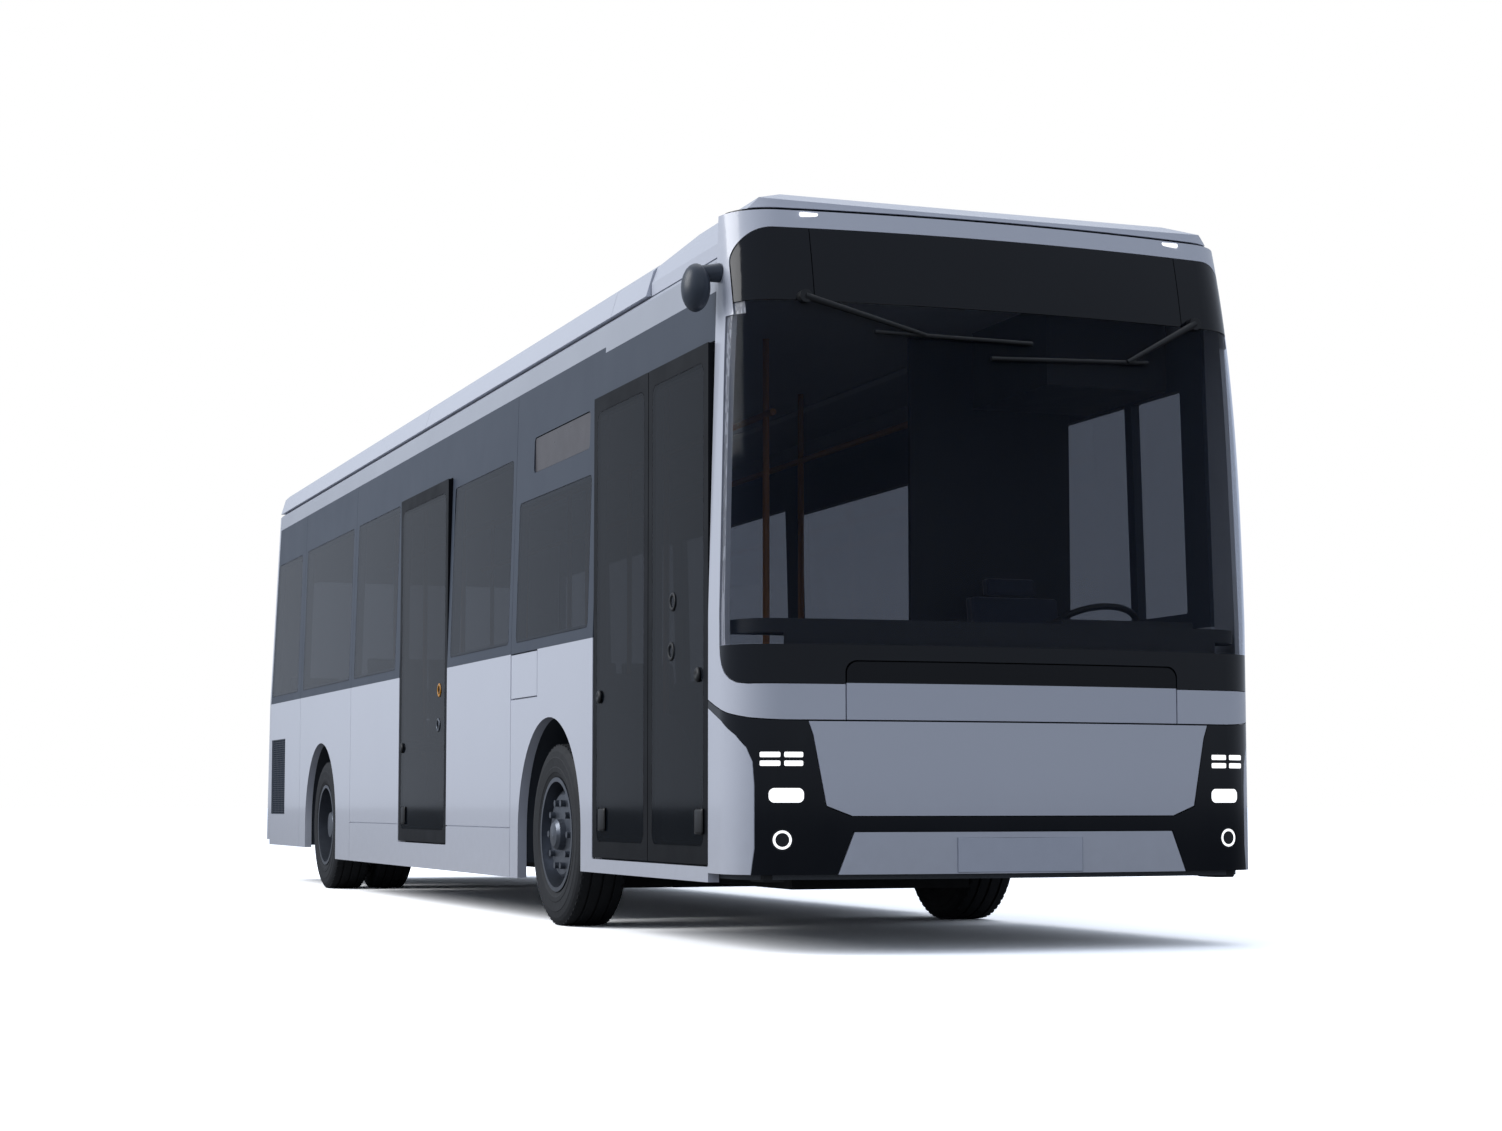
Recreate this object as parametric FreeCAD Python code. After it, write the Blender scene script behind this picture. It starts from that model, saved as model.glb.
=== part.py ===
import FreeCAD, Part
import math
import os

# A low-entry electric city bus: +X forward, +Y to its left, +Z up, ground at Z = 0.
# All lengths are millimetres.  "Back" distances are measured rearwards from the nose.

V = FreeCAD.Vector

# ---------------------------------------------------------------- overall sizes
length = 11550.0
width = 2500.0
belt_z = 1436.0
gutter_z = 2963.0
roof_z = 3000.0
cowl_top_z = 3305.0
cowl_slot = 16.0
lean_deg = 1.5

# ---------------------------------------------------------------- running gear
front_axle_back = 2935.0
wheelbase = 6175.0
tyre_radius = 467.0
tyre_width = 275.0
rim_flange_radius = 296.0
rim_barrel_radius = 272.0
wheel_outer_inset = 35.0
twin_gap = 45.0
kingpin_inset = 270.0
kingpin_radius = 26.0
stub_radius = 45.0
spindle_radius = 60.0
bearing_clearance = 0.3
nut_count = 10
nut_circle_radius = 167.5
nut_radius = 17.0
nut_height = 26.0
front_disc_inset = 40.0
rear_dish_depth = 150.0
disc_thickness = 14.0
front_beam_bottom = 190.0
front_beam_height = 95.0
front_beam_width = 90.0
knuckle_height = 190.0
knuckle_radius = 58.0
fork_height = 40.0
fork_clearance = 2.0
rear_beam_radius = 85.0
drive_unit_radius = 115.0
drive_unit_length = 560.0
drive_unit_clearance = 8.0
fork_web_clearance = 40.0

# ---------------------------------------------------------------- driver's place
driver_y = 680.0
driver_seat_back = 1180.0
dash_depth = 330.0
dash_top_z = 1400.0
column_back = 640.0
column_rise = 760.0
steering_radius = 225.0
seat_width = 440.0

# ---------------------------------------------------------------- shell and panels
wall = 50.0
seam = 6.0
arch_radius = 591.0
arch_rise = 13.0
housing_wall = 20.0
housing_reveal = 9.0
front_housing_inner_y = 640.0
rear_housing_clearance = 30.0
skirt_mid_z = 228.0
skirt_end_z = 293.0
band_top_z = 2860.0
band_front_top_z = 2832.0
band_step_back = 2070.0
panel_seams_back = (3690.0, 8020.0, 9953.0)
skirt_seam_z = 494.0
rear_seam_back = 11270.0
rear_seam_top_back = 11110.0
rear_post = 46.0
pane = 6.0
pane_flange = 16.0
pane_gap = 3.0
window_radius = 30.0
low_floor_z = 360.0
driver_floor_z = 610.0
floor_thickness = 50.0
step_back = 7050.0
rear_foot_z = 333.0
rear_rake_low = 70.0
rear_rake_high = 160.0
rear_corner_radius = 140.0
rear_arc_radius = 20000.0

# ---------------------------------------------------------------- nose
nose_arc_radius = 7178.0
nose_corner_radius = 230.0
nose_rake = 199.0
nose_rake_top_z = 3260.0
nose_rake_power = 2.9
nose_skin = 30.0
nose_back = 452.0
nose_inner_skin = 55.0
joint = 0.3
slot_strip_inner = 50.0
glass = 8.0
visor_skin = 14.0
glass_flange = 35.0
nose_bottom_z = 332.0
wiper_pivot_y = 936.0
wiper_pivot_z = 2766.0
blade_radius = 9.0
blade_clearance = 13.0
door_camera_back = 415.0
driver_camera_back = 760.0
plate_half_width = 296.0
plate_low_z = 337.0
plate_high_z = 483.0
plate_recess = 9.0
light_bar_places_y = (1007.0, 1103.0)
light_bar_places_z = (793.0, 829.0)
light_bar_half_length = 40.0
lamp_depth = 14.0
trim_top_z = 971.0
band_low_z = 975.0
glass_bottom_z = 1126.0
screen_bottom_z = 1289.0
visor_bottom_z = 2750.0
visor_top_z = 3078.0
header_top_z = 3160.0
glass_edge_back_low = 307.0
glass_edge_back_high = 338.0
glass_corner_radius = 165.0
visor_split_y = 884.0
hatch_half_width = 780.0
hatch_top_z = 1218.0
hatch_corner_radius = 50.0
hatch_gap = 6.0
strip_low_z = 509.0
strip_high_z = 573.0

# ---------------------------------------------------------------- doors
door_front_back = 460.0
door_rear_back = 2145.0
door_split_back = 1287.0
door_low_z = 366.0
door_high_z = 2610.0
mid_front_back = 5170.0
mid_rear_back = 6458.0
mid_low_z = 388.0
mid_high_z = 2580.0
leaf_thickness = 42.0
leaf_gap = 8.0
hinge_inset = 6.0
hinge_pin_radius = 4.0
hinge_pin_reach = 14.0
leaf_stile = 75.0
leaf_rail = 95.0
leaf_corner_radius = 5.0
door_pane = 8.0
door_face_inset = 2.0
flap_face_inset = 0.5

# windows on each side: front edge back, rear edge back, bottom, top
right_windows = (
    (2249.0, 3595.0, 1495.0, 2250.0),
    (3756.0, 5092.0, 1495.0, 2510.0),
    (6609.0, 7929.0, 1495.0, 2570.0),
    (8104.0, 9870.0, 1495.0, 2570.0),
    (10093.0, 11213.0, 1495.0, 2565.0),
)
left_windows = (
    (640.0, 1140.0, 1495.0, 2580.0),
    (1176.0, 3595.0, 1495.0, 2580.0),
    (3756.0, 5620.0, 1495.0, 2510.0),
    (5780.0, 7929.0, 1495.0, 2570.0),
    (8104.0, 9870.0, 1495.0, 2570.0),
    (10093.0, 11213.0, 1495.0, 2565.0),
)
display_window = (2300.0, 3335.0, 2389.0, 2580.0)

# ---------------------------------------------------------------- flaps and lids
flap_front_back = 3163.0
flap_rear_back = 3680.0
flap_low_z = 1193.0
flap_high_z = 1428.0
flap_thickness = 18.0
flap_gap = 8.0
flap_back_gap = 6.0
inlet_radius = 37.0
inlet_depth = 20.0
rear_door_half_width = 780.0
rear_door_low_z = 430.0
rear_door_high_z = 1330.0
rear_lid_thickness = 35.0
rear_lid_gap = 8.0
rear_window_half_width = 930.0
rear_window_low_z = 1560.0
rear_window_high_z = 2480.0
grille_front_back = 10600.0
grille_rear_back = 11215.0
grille_low_z = 540.0
grille_high_z = 1140.0

# ---------------------------------------------------------------- values that follow
half_w = width / 2.0
nose_x = length / 2.0
tail_x = -length / 2.0
front_axle_x = nose_x - front_axle_back
rear_axle_x = front_axle_x - wheelbase
axle_z = tyre_radius
wheel_outer_y = half_w - wheel_outer_inset
kingpin_y = half_w - kingpin_inset
lean = math.tan(math.radians(lean_deg))
twin_inner_y = wheel_outer_y - 2.0 * tyre_width - twin_gap
arch_z = tyre_radius + arch_rise
inner_y = half_w - wall
roof_under_z = roof_z - 60.0
high_floor_z = axle_z + drive_unit_radius + drive_unit_clearance + floor_thickness
rear_housing_inner_y = twin_inner_y - rear_housing_clearance
column_dir = V(-0.5, 0.0, 0.866)
column_top = V(nose_x - column_back, driver_y, driver_floor_z + column_rise)


def back(distance):
    """X of a place this far behind the nose."""
    return nose_x - distance


# ---------------------------------------------------------------- small builders
def box(x0, x1, y0, y1, z0, z1):
    x0, x1 = sorted((x0, x1))
    y0, y1 = sorted((y0, y1))
    z0, z1 = sorted((z0, z1))
    return Part.makeBox(x1 - x0, y1 - y0, z1 - z0, V(x0, y0, z0))


def cylinder(start, direction, radius, height):
    return Part.makeCylinder(radius, height, start, direction)


def along_x(points, x0, x1):
    """Prism along X over a closed outline of (y, z) points."""
    wire = Part.makePolygon([V(x0, y, z) for y, z in points] + [V(x0, *points[0])])
    return Part.Face(wire).extrude(V(x1 - x0, 0, 0))


def along_y(points, y0, y1):
    """Prism along Y over a closed outline of (x, z) points."""
    corners = [V(x, y0, z) for x, z in points]
    wire = Part.makePolygon(corners + [corners[0]])
    return Part.Face(wire).extrude(V(0, y1 - y0, 0))


def rounded_along_y(x0, x1, z0, z1, radius, y0, y1):
    """Block along Y whose four edges are rounded."""
    block = box(x0, x1, y0, y1, z0, z1)
    edges = [e for e in block.Edges if abs(e.Vertexes[0].Y - e.Vertexes[1].Y) > 1e-6]
    return block.makeFillet(radius, edges)


def rounded_along_x(y0, y1, z0, z1, radius, x0, x1):
    """Block along X whose four edges are rounded."""
    block = box(x0, x1, y0, y1, z0, z1)
    edges = [e for e in block.Edges if abs(e.Vertexes[0].X - e.Vertexes[1].X) > 1e-6]
    return block.makeFillet(radius, edges)


def mirrored(shape):
    """The same shape on the other side of the bus."""
    return shape.mirror(V(0, 0, 0), V(0, 1, 0))


def both_sides(shape):
    return Part.makeCompound(list(shape.Solids) + list(mirrored(shape).Solids))


def joined(*shapes):
    """One clean solid from touching shapes."""
    return shapes[0].fuse(list(shapes[1:])).removeSplitter()


def group(*shapes):
    """Several solids that share a node."""
    solids = []
    for shape in shapes:
        solids.extend(shape.Solids)
    return Part.makeCompound(solids)


def side_y(z):
    """Half width of the body at height z: upright to the belt, leaning in above it."""
    return half_w - max(0.0, z - belt_z) * lean


def turned_y(profile, x, y_sign=1.0):
    """Ring about the wheel axis at x from (radius, y) points."""
    corners = [V(r, y * y_sign, 0) for r, y in profile]
    wire = Part.makePolygon(corners + [corners[0]])
    ring = Part.Face(wire).revolve(V(0, 0, 0), V(0, 1, 0), 360.0)
    ring = Part.Solid(ring) if ring.ShapeType != "Solid" else ring
    ring.translate(V(x, 0, axle_z))
    return ring


# ---------------------------------------------------------------- the nose surface
def nose_rake_at(z):
    """How far the nose has leaned back at height z."""
    if z <= belt_z:
        return 0.0
    share = (z - belt_z) / (nose_rake_top_z - belt_z)
    return nose_rake * share ** nose_rake_power


def nose_wire(z, inset):
    """Plan outline of the nose at height z: side, corner, bowed front, corner, side."""
    half = side_y(z) - inset
    corner = nose_corner_radius - inset
    corner_y = half - corner
    bow = nose_arc_radius - inset
    centre_x = nose_x - nose_rake_at(z) - nose_arc_radius
    corner_x = centre_x + math.sqrt((bow - corner) ** 2 - corner_y ** 2)
    touch_y = corner_y * bow / (bow - corner)
    touch_x = centre_x + math.sqrt(bow ** 2 - touch_y ** 2)
    slant = math.atan2(touch_y - corner_y, touch_x - corner_x) / 2.0 + math.pi / 4.0
    mid = (corner_x + corner * math.cos(slant), corner_y + corner * math.sin(slant))
    rear_x = nose_x - nose_back - 700.0
    a = V(rear_x, -half, z)
    b = V(corner_x, -half, z)
    c = V(touch_x, -touch_y, z)
    d = V(touch_x, touch_y, z)
    e = V(corner_x, half, z)
    f = V(rear_x, half, z)
    edges = [
        Part.LineSegment(a, b).toShape(),
        Part.Arc(b, V(mid[0], -mid[1], z), c).toShape(),
        Part.Arc(c, V(centre_x + bow, 0, z), d).toShape(),
        Part.Arc(d, V(mid[0], mid[1], z), e).toShape(),
        Part.LineSegment(e, f).toShape(),
        Part.LineSegment(f, a).toShape(),
    ]
    return Part.Wire(edges)


def nose_solid(inset, low_z, high_z):
    """Everything inside the nose surface, drawn in by inset, between two heights."""
    pieces = []
    if low_z < belt_z:
        face = Part.Face(nose_wire(low_z, inset))
        pieces.append(face.extrude(V(0, 0, min(high_z, belt_z) - low_z)))
    if high_z > belt_z:
        levels = [belt_z + (nose_rake_top_z + 60.0 - belt_z) * i / 6.0 for i in range(7)]
        loft = Part.makeLoft([nose_wire(z, inset) for z in levels], True, False)
        start = max(low_z, belt_z)
        pieces.append(loft.common(box(nose_x - 2000.0, nose_x + 50.0, -half_w - 50.0,
                                      half_w + 50.0, start, high_z)))
    return pieces[0] if len(pieces) == 1 else pieces[0].fuse(pieces[1]).removeSplitter()


def nose_shell(outer, inner, low_z, high_z):
    """Skin of the nose between two insets, open at the back."""
    skin = nose_solid(outer, low_z, high_z).cut(nose_solid(inner, low_z - 5.0, high_z + 5.0))
    keep = box(nose_x - nose_back, nose_x + 50.0, -half_w - 50.0, half_w + 50.0,
               low_z - 10.0, high_z + 10.0)
    return skin.common(keep)


def front_region(points):
    """Prism along X over an outline in the front view, on both sides of the middle."""
    half = along_x(points, nose_x - nose_back - 20.0, nose_x + 60.0)
    return half.fuse(mirrored(half)).removeSplitter()


def glazed_region(margin):
    """The dark glazed area of the nose, seen from the side, pushed out by margin."""
    low = glass_bottom_z - margin
    edge_low = nose_x - glass_edge_back_low - margin
    edge_high = nose_x - glass_edge_back_high - margin
    r = glass_corner_radius
    top = visor_top_z + margin
    steps = 6
    points = [(nose_x + 60.0, low)]
    for i in range(steps + 1):
        turn = math.pi / 2.0 * i / steps
        points.append((edge_low + r - r * math.sin(turn), low + r - r * math.cos(turn)))
    points.append((edge_high, top))
    points.append((nose_x + 60.0, top))
    side = along_y(points, -half_w - 50.0, half_w + 50.0)
    half_top = side_y(visor_top_z) + margin - 12.0
    front = rounded_along_x(-half_top, half_top, low - 400.0, top, 150.0,
                            nose_x - 700.0, nose_x + 60.0)
    low_part = box(nose_x - 700.0, nose_x + 60.0, -half_w - 50.0, half_w + 50.0,
                   low - 400.0, 2700.0)
    return side.common(front.fuse(low_part))


def wing_line():
    """Edge between a lamp surround and the corner wing outside it, seen from the side."""
    return [
        (back(490.0), 1044.0), (back(288.0), 972.0), (back(193.0), 911.0),
        (back(148.0), 858.0), (back(129.0), 800.0), (back(124.0), 700.0),
        (back(124.0), 441.0), (back(134.0), nose_bottom_z),
    ]


def trim_line():
    """Upper edge of the lamp surround where it runs back to a point along the side."""
    return [
        (nose_x + 60.0, trim_top_z), (back(76.0), trim_top_z), (back(139.0), 980.0),
        (back(232.0), 1000.0), (back(357.0), 1034.0), (back(490.0), 1075.0),
    ]


def centre_panel_outline(gap):
    """Half outline of the painted nose panel between the lamp units."""
    return [
        (0.0, trim_top_z - 3.0), (945.0 - gap, trim_top_z - 3.0), (925.0 - gap, 911.0),
        (869.0 - gap, 615.0 + gap), (759.0 - gap, strip_high_z + gap),
        (0.0, strip_high_z + gap),
    ]


def low_panel_outline(gap):
    """Half outline of the painted bumper panel under the dark strip."""
    return [
        (0.0, strip_low_z - gap), (750.0 - gap, strip_low_z - gap),
        (820.0 - gap, nose_bottom_z), (0.0, nose_bottom_z),
    ]


def hatch_region(gap):
    """Front view outline of the service hatch, grown by gap."""
    return rounded_along_x(-hatch_half_width - gap, hatch_half_width + gap,
                           band_low_z - 60.0, hatch_top_z + gap,
                           hatch_corner_radius, nose_x - 300.0, nose_x + 60.0)


def make_windscreen():
    screen = nose_shell(0.0, glass, screen_bottom_z + 3.0, visor_bottom_z)
    return screen.common(glazed_region(0.0))


def make_front_black_panels():
    """Visor over the screen in three pieces, and the dark band under it."""
    visor = nose_shell(0.0, visor_skin, visor_bottom_z + 4.0, visor_top_z)
    visor = visor.common(glazed_region(0.0))
    for y in (-visor_split_y, visor_split_y):
        visor = visor.cut(box(nose_x - 400.0, nose_x + 50.0, y - 2.0, y + 2.0,
                              visor_bottom_z - 10.0, visor_top_z + 10.0))
    low = nose_shell(0.0, nose_skin, glass_bottom_z, screen_bottom_z)
    low = low.common(glazed_region(0.0)).cut(hatch_region(hatch_gap))
    strip = nose_shell(nose_skin + joint, slot_strip_inner, visor_top_z + 6.0,
                       header_top_z + cowl_slot - joint)
    return group(visor, low, strip)


def make_front_mask():
    """White nose frame: corner pillars, the band under the glass and the header."""
    mask = nose_shell(0.0, nose_skin, band_low_z, header_top_z)
    edge = glazed_region(3.0)
    screen_rebate = nose_shell(-5.0, glass, screen_bottom_z, visor_bottom_z + 2.0)
    visor_rebate = nose_shell(-5.0, visor_skin, visor_bottom_z + 2.0, visor_top_z + 5.0)
    band_space = nose_shell(-5.0, nose_skin + 5.0, glass_bottom_z - 5.0, screen_bottom_z)
    for space in (screen_rebate, visor_rebate, band_space):
        mask = mask.cut(space.common(edge))
    mask = mask.cut(glazed_region(-glass_flange))
    above = [(x, z + 4.0) for x, z in trim_line()]
    above = above + [(back(nose_back + 40.0), 1085.0), (back(nose_back + 40.0), 900.0),
                     (nose_x + 60.0, 900.0)]
    mask = mask.cut(along_y(above, -half_w - 50.0, half_w + 50.0))
    mask = mask.cut(hatch_region(hatch_gap))
    return mask


def make_front_panels():
    """White panels of the lower nose: centre, bumper and the two corner wings."""
    skin = nose_shell(0.0, nose_skin, nose_bottom_z, trim_top_z - 3.0)
    centre = skin.common(front_region(centre_panel_outline(2.0)))
    low = skin.common(front_region(low_panel_outline(2.0)))
    low = low.cut(box(nose_x - plate_recess, nose_x + 1.0, -plate_half_width, plate_half_width,
                      plate_low_z, plate_high_z))
    wing_skin = nose_shell(0.0, nose_skin, nose_bottom_z, 1050.0)
    outline = [(x - 2.0, z) for x, z in wing_line()]
    outline = outline + [(back(nose_back + 20.0), nose_bottom_z),
                         (back(nose_back + 20.0), 1044.0)]
    wings = wing_skin.common(along_y(outline, -half_w - 50.0, half_w + 50.0))
    return group(centre, low, wings)


def lamp_slots(grow):
    """Front view blocks of one side's lamps: four light bars and a main lamp."""
    slots = []
    half = light_bar_half_length + grow
    for y in light_bar_places_y:
        for z in light_bar_places_z:
            slots.append(rounded_along_x(y - half, y + half, z - 11.0 - grow,
                                         z + 11.0 + grow, 6.0, back(330.0), nose_x))
    slots.append(rounded_along_x(964.0 - grow, 1110.0 + grow, 630.0 - grow, 690.0 + grow,
                                 24.0, back(330.0), nose_x))
    slots.append(cylinder(V(back(330.0), 1055.0, 476.0), V(1, 0, 0), 46.0 + grow, 330.0))
    return slots



def make_lamp_trim():
    """Gloss black surround of the lamps with the strip that joins the two sides."""
    skin = nose_shell(0.0, nose_skin, nose_bottom_z, 1080.0)
    outline = trim_line() + wing_line() + [(nose_x + 60.0, nose_bottom_z)]
    trim = skin.common(along_y(outline, -half_w - 50.0, half_w + 50.0))
    trim = trim.cut(front_region(centre_panel_outline(-2.0)))
    trim = trim.cut(front_region(low_panel_outline(-2.0)))
    pocket = nose_solid(-3.0, 400.0, 900.0).cut(nose_solid(lamp_depth, 395.0, 905.0))
    for slot in lamp_slots(0.5):
        trim = trim.cut(pocket.common(slot))
        trim = trim.cut(mirrored(pocket.common(slot)))
    return trim


def make_lamps():
    """Front lamps in their pockets and the tail lamps in the rear wall."""
    skin = nose_solid(2.0, 400.0, 900.0).cut(nose_solid(lamp_depth, 395.0, 905.0))
    fronts = [skin.common(slot) for slot in lamp_slots(0.0)]
    rears = [tail_lamp(0.0)]
    return group(*[both_sides(lamp) for lamp in fronts + rears])


def make_front_bulkhead():
    """Inner frame that carries the nose panels, with the service bay open behind its hatch."""
    shell = nose_shell(nose_skin + joint, nose_inner_skin, nose_bottom_z,
                       screen_bottom_z - 4.0)
    return shell.cut(hatch_region(hatch_gap))


def make_front_hatch():
    skin = nose_shell(0.0, nose_skin, band_low_z, hatch_top_z)
    return skin.common(hatch_region(0.0))


def make_roof_front_cowl():
    """Raised cap over the header, domed at the front and falling back to the roof."""
    side = [
        (back(140.0), header_top_z + cowl_slot), (back(300.0), 3222.0), (back(400.0), 3268.0),
        (back(600.0), cowl_top_z), (back(820.0), 3296.0), (back(1100.0), 3215.0),
        (back(1450.0), 3140.0), (back(1450.0), roof_z + joint), (back(480.0), roof_z + joint),
        (back(480.0), header_top_z + cowl_slot),
    ]
    profile = Part.makePolygon([V(x, 0, z) for x, z in side] + [V(side[0][0], 0, side[0][1])])
    slab = Part.Face(profile).extrude(V(0, width, 0))
    slab.translate(V(0, -half_w, 0))
    half = side_y(gutter_z)
    section = [
        (0.0, cowl_top_z + 5.0), (700.0, cowl_top_z - 8.0), (940.0, 3268.0),
        (1075.0, 3222.0), (half - 60.0, 3140.0), (half - 30.0, 3060.0),
        (half - 30.0, roof_z), (0.0, roof_z),
    ]
    cross = along_x(section, back(1500.0), nose_x)
    cross = cross.fuse(mirrored(cross)).removeSplitter()
    plan = nose_solid(18.0, roof_z - 10.0, nose_rake_top_z + 60.0)
    plan = plan.fuse(box(back(1500.0), back(1100.0), -half, half, roof_z - 10.0, 3400.0))
    cowl = slab.common(cross).common(plan)
    hollow = box(back(1500.0), back(560.0), -950.0, 950.0, roof_z - 20.0, 3120.0)
    return cowl.cut(hollow)


# ---------------------------------------------------------------- side walls
def ahead_of_seam(margin):
    """Space ahead of the rear corner seam, which leans forward above the belt."""
    low = back(rear_seam_back) + margin
    high = back(rear_seam_top_back) + margin
    return along_y([(low, 0.0), (low, belt_z), (high, gutter_z), (high, 4000.0),
                    (nose_x + 100.0, 4000.0), (nose_x + 100.0, 0.0)],
                   -half_w - 100.0, half_w + 100.0)


def wall_slab(x0, x1, low, high, depth0, depth1, sign):
    """Side slab between two depths under the outer surface, leaning above the belt."""
    zs = [low] + ([belt_z] if low < belt_z < high else []) + [high]
    outer = [(sign * (side_y(z) - depth0), z) for z in zs]
    inner = [(sign * (side_y(z) - depth1), z) for z in reversed(zs)]
    return along_x(outer + inner, x0, x1)


def wheel_opening(axle_x, radius, sign, y0, y1):
    """Arch over a wheel: round above its middle and straight below."""
    barrel = cylinder(V(axle_x, sign * y0, arch_z), V(0, sign, 0), radius, y1 - y0)
    skirt = box(axle_x - radius, axle_x + radius, sign * y0, sign * y1, arch_z - radius - 5.0,
                arch_z)
    return barrel.fuse(skirt)


def door_holes(grow):
    """Openings of the passenger doors through the right wall."""
    deep = -half_w + wall + 30.0
    front = rounded_along_y(back(door_rear_back + grow), back(door_front_back - grow),
                            door_low_z - grow, door_high_z + grow,
                            leaf_corner_radius + grow,
                            -half_w - 60.0, deep)
    mid = rounded_along_y(back(mid_rear_back + grow), back(mid_front_back - grow),
                          mid_low_z - grow, mid_high_z + grow,
                          leaf_corner_radius + grow,
                          -half_w - 60.0, deep)
    return [front, mid]


def flap_hole(grow, depth0, depth1):
    return box(back(flap_rear_back + grow), back(flap_front_back - grow),
               -half_w + depth0, -half_w + depth1, flap_low_z - grow, flap_high_z + grow)


def side_hinges():
    """Foot of each vertical hinge on the right side: x, y and the leaf's lower edge."""
    y = -half_w + door_face_inset + hinge_inset
    flap_y = -half_w + flap_face_inset + hinge_inset
    return (
        (back(door_front_back) - hinge_inset, y, door_low_z),
        (back(door_rear_back) + hinge_inset, y, door_low_z),
        (back(mid_front_back) - hinge_inset, y, mid_low_z),
        (back(flap_rear_back) + hinge_inset, flap_y, flap_low_z),
    )


def hinge_pin(x, y, z, grow):
    """Pivot pin under a leaf's lower corner, or with grow its bore in the sill."""
    depth = hinge_pin_reach + grow
    return cylinder(V(x, y, z - depth), V(0, 0, 1), hinge_pin_radius + grow, depth + 2.0)


def make_side_panels():
    """Painted lower walls on both sides, split where the real panels meet."""
    sides = []
    for sign in (-1.0, 1.0):
        x_rear = back(rear_seam_back)
        x_front = back(nose_back + joint)
        slab = wall_slab(x_rear, x_front, skirt_mid_z, belt_z, 0.0, wall, sign)
        deep = sign * (half_w + 10.0), sign * (inner_y - 10.0)
        slab = slab.cut(box(back(front_axle_back), x_front + 10.0, deep[0], deep[1],
                            0.0, skirt_end_z))
        slab = slab.cut(box(x_rear - 10.0, rear_axle_x, deep[0], deep[1], 0.0, skirt_end_z))
        for axle_x in (front_axle_x, rear_axle_x):
            slab = slab.cut(wheel_opening(axle_x, arch_radius, sign, inner_y - 10.0,
                                          half_w + 10.0))
        for seam_back in panel_seams_back:
            x = back(seam_back)
            slab = slab.cut(box(x - seam / 2.0, x + seam / 2.0, deep[0], deep[1], 0.0, belt_z))
        groove_front = back(panel_seams_back[0])
        groove_rear = back(panel_seams_back[1])
        slab = slab.cut(box(groove_rear, groove_front, sign * (half_w - 8.0), deep[0],
                            skirt_seam_z - 3.0, skirt_seam_z + 3.0))
        if sign < 0.0:
            for hole in door_holes(leaf_gap):
                slab = slab.cut(hole)
            pocket = flap_thickness + flap_back_gap
            slab = slab.cut(flap_hole(flap_gap, -5.0, pocket))
            middle = V((back(flap_front_back) + back(flap_rear_back)) / 2.0,
                       -half_w + pocket - 1.0, (flap_low_z + flap_high_z) / 2.0)
            slab = slab.cut(cylinder(middle, V(0, 1, 0), inlet_radius, inlet_depth + 1.0))
            for x, y, z in side_hinges():
                slab = slab.cut(hinge_pin(x, y, z, bearing_clearance))
        grille = box(back(grille_rear_back), back(grille_front_back), deep[0],
                     sign * (half_w - 12.0), grille_low_z, grille_high_z)
        slab = slab.cut(grille)
        sides.append(slab)
    return group(*sides)


def window_hole(window, grow, depth0, depth1, sign):
    """Block over one window, grown by grow, between two depths from the belt plane."""
    front_back, rear_back, low, high = window
    corner = window_radius + grow
    hole = rounded_along_y(back(rear_back + grow), back(front_back - grow), low - grow,
                           high + grow, max(corner, 5.0), sign * (half_w + 20.0 - depth0),
                           sign * (half_w - depth1))
    if rear_back > rear_seam_top_back - rear_post:
        hole = hole.common(ahead_of_seam(rear_post - grow))
    return hole


def make_window_bands():
    """Dark upper walls: window posts and rails with the openings cut."""
    sides = []
    for sign in (-1.0, 1.0):
        slab = wall_slab(back(rear_seam_back), back(nose_back + joint), belt_z + joint,
                         band_top_z, 0.0, wall, sign).common(ahead_of_seam(0.0))
        slab = slab.cut(box(back(band_step_back), nose_x, sign * (half_w + 10.0),
                            sign * (half_w - 200.0), band_front_top_z, 3000.0))
        windows = right_windows if sign < 0.0 else left_windows
        pocket = wall_slab(back(rear_seam_back), back(nose_back), belt_z, band_top_z,
                           -20.0, pane, sign)
        for window in windows:
            slab = slab.cut(window_hole(window, pane_gap, 0.0, 200.0, sign).common(pocket))
            slab = slab.cut(window_hole(window, -pane_flange, 0.0, 200.0, sign))
        if sign < 0.0:
            for hole in door_holes(leaf_gap):
                slab = slab.cut(hole)
            recess = wall_slab(back(rear_seam_back), back(nose_back), belt_z, band_top_z,
                               -20.0, 10.0, sign)
            slab = slab.cut(window_hole(display_window, 0.0, 0.0, 200.0, sign).common(recess))
        for seam_back in panel_seams_back:
            x = back(seam_back)
            slab = slab.cut(box(x - 2.0, x + 2.0, sign * (half_w + 10.0),
                                sign * (half_w - 150.0), belt_z, 3000.0))
        sides.append(slab)
    return group(*sides)


def make_window_panes():
    """Bonded side panes and the rear pane, each in its rebate."""
    panes = []
    for sign in (-1.0, 1.0):
        sheet = wall_slab(back(rear_seam_back), back(nose_back), belt_z, band_top_z,
                          0.0, pane, sign)
        windows = right_windows if sign < 0.0 else left_windows
        for window in windows:
            panes.append(window_hole(window, 0.0, 0.0, 200.0, sign).common(sheet))
    panes.append(rear_window_block(0.0).common(rear_shell(0.0, pane)))
    return group(*panes)


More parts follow.
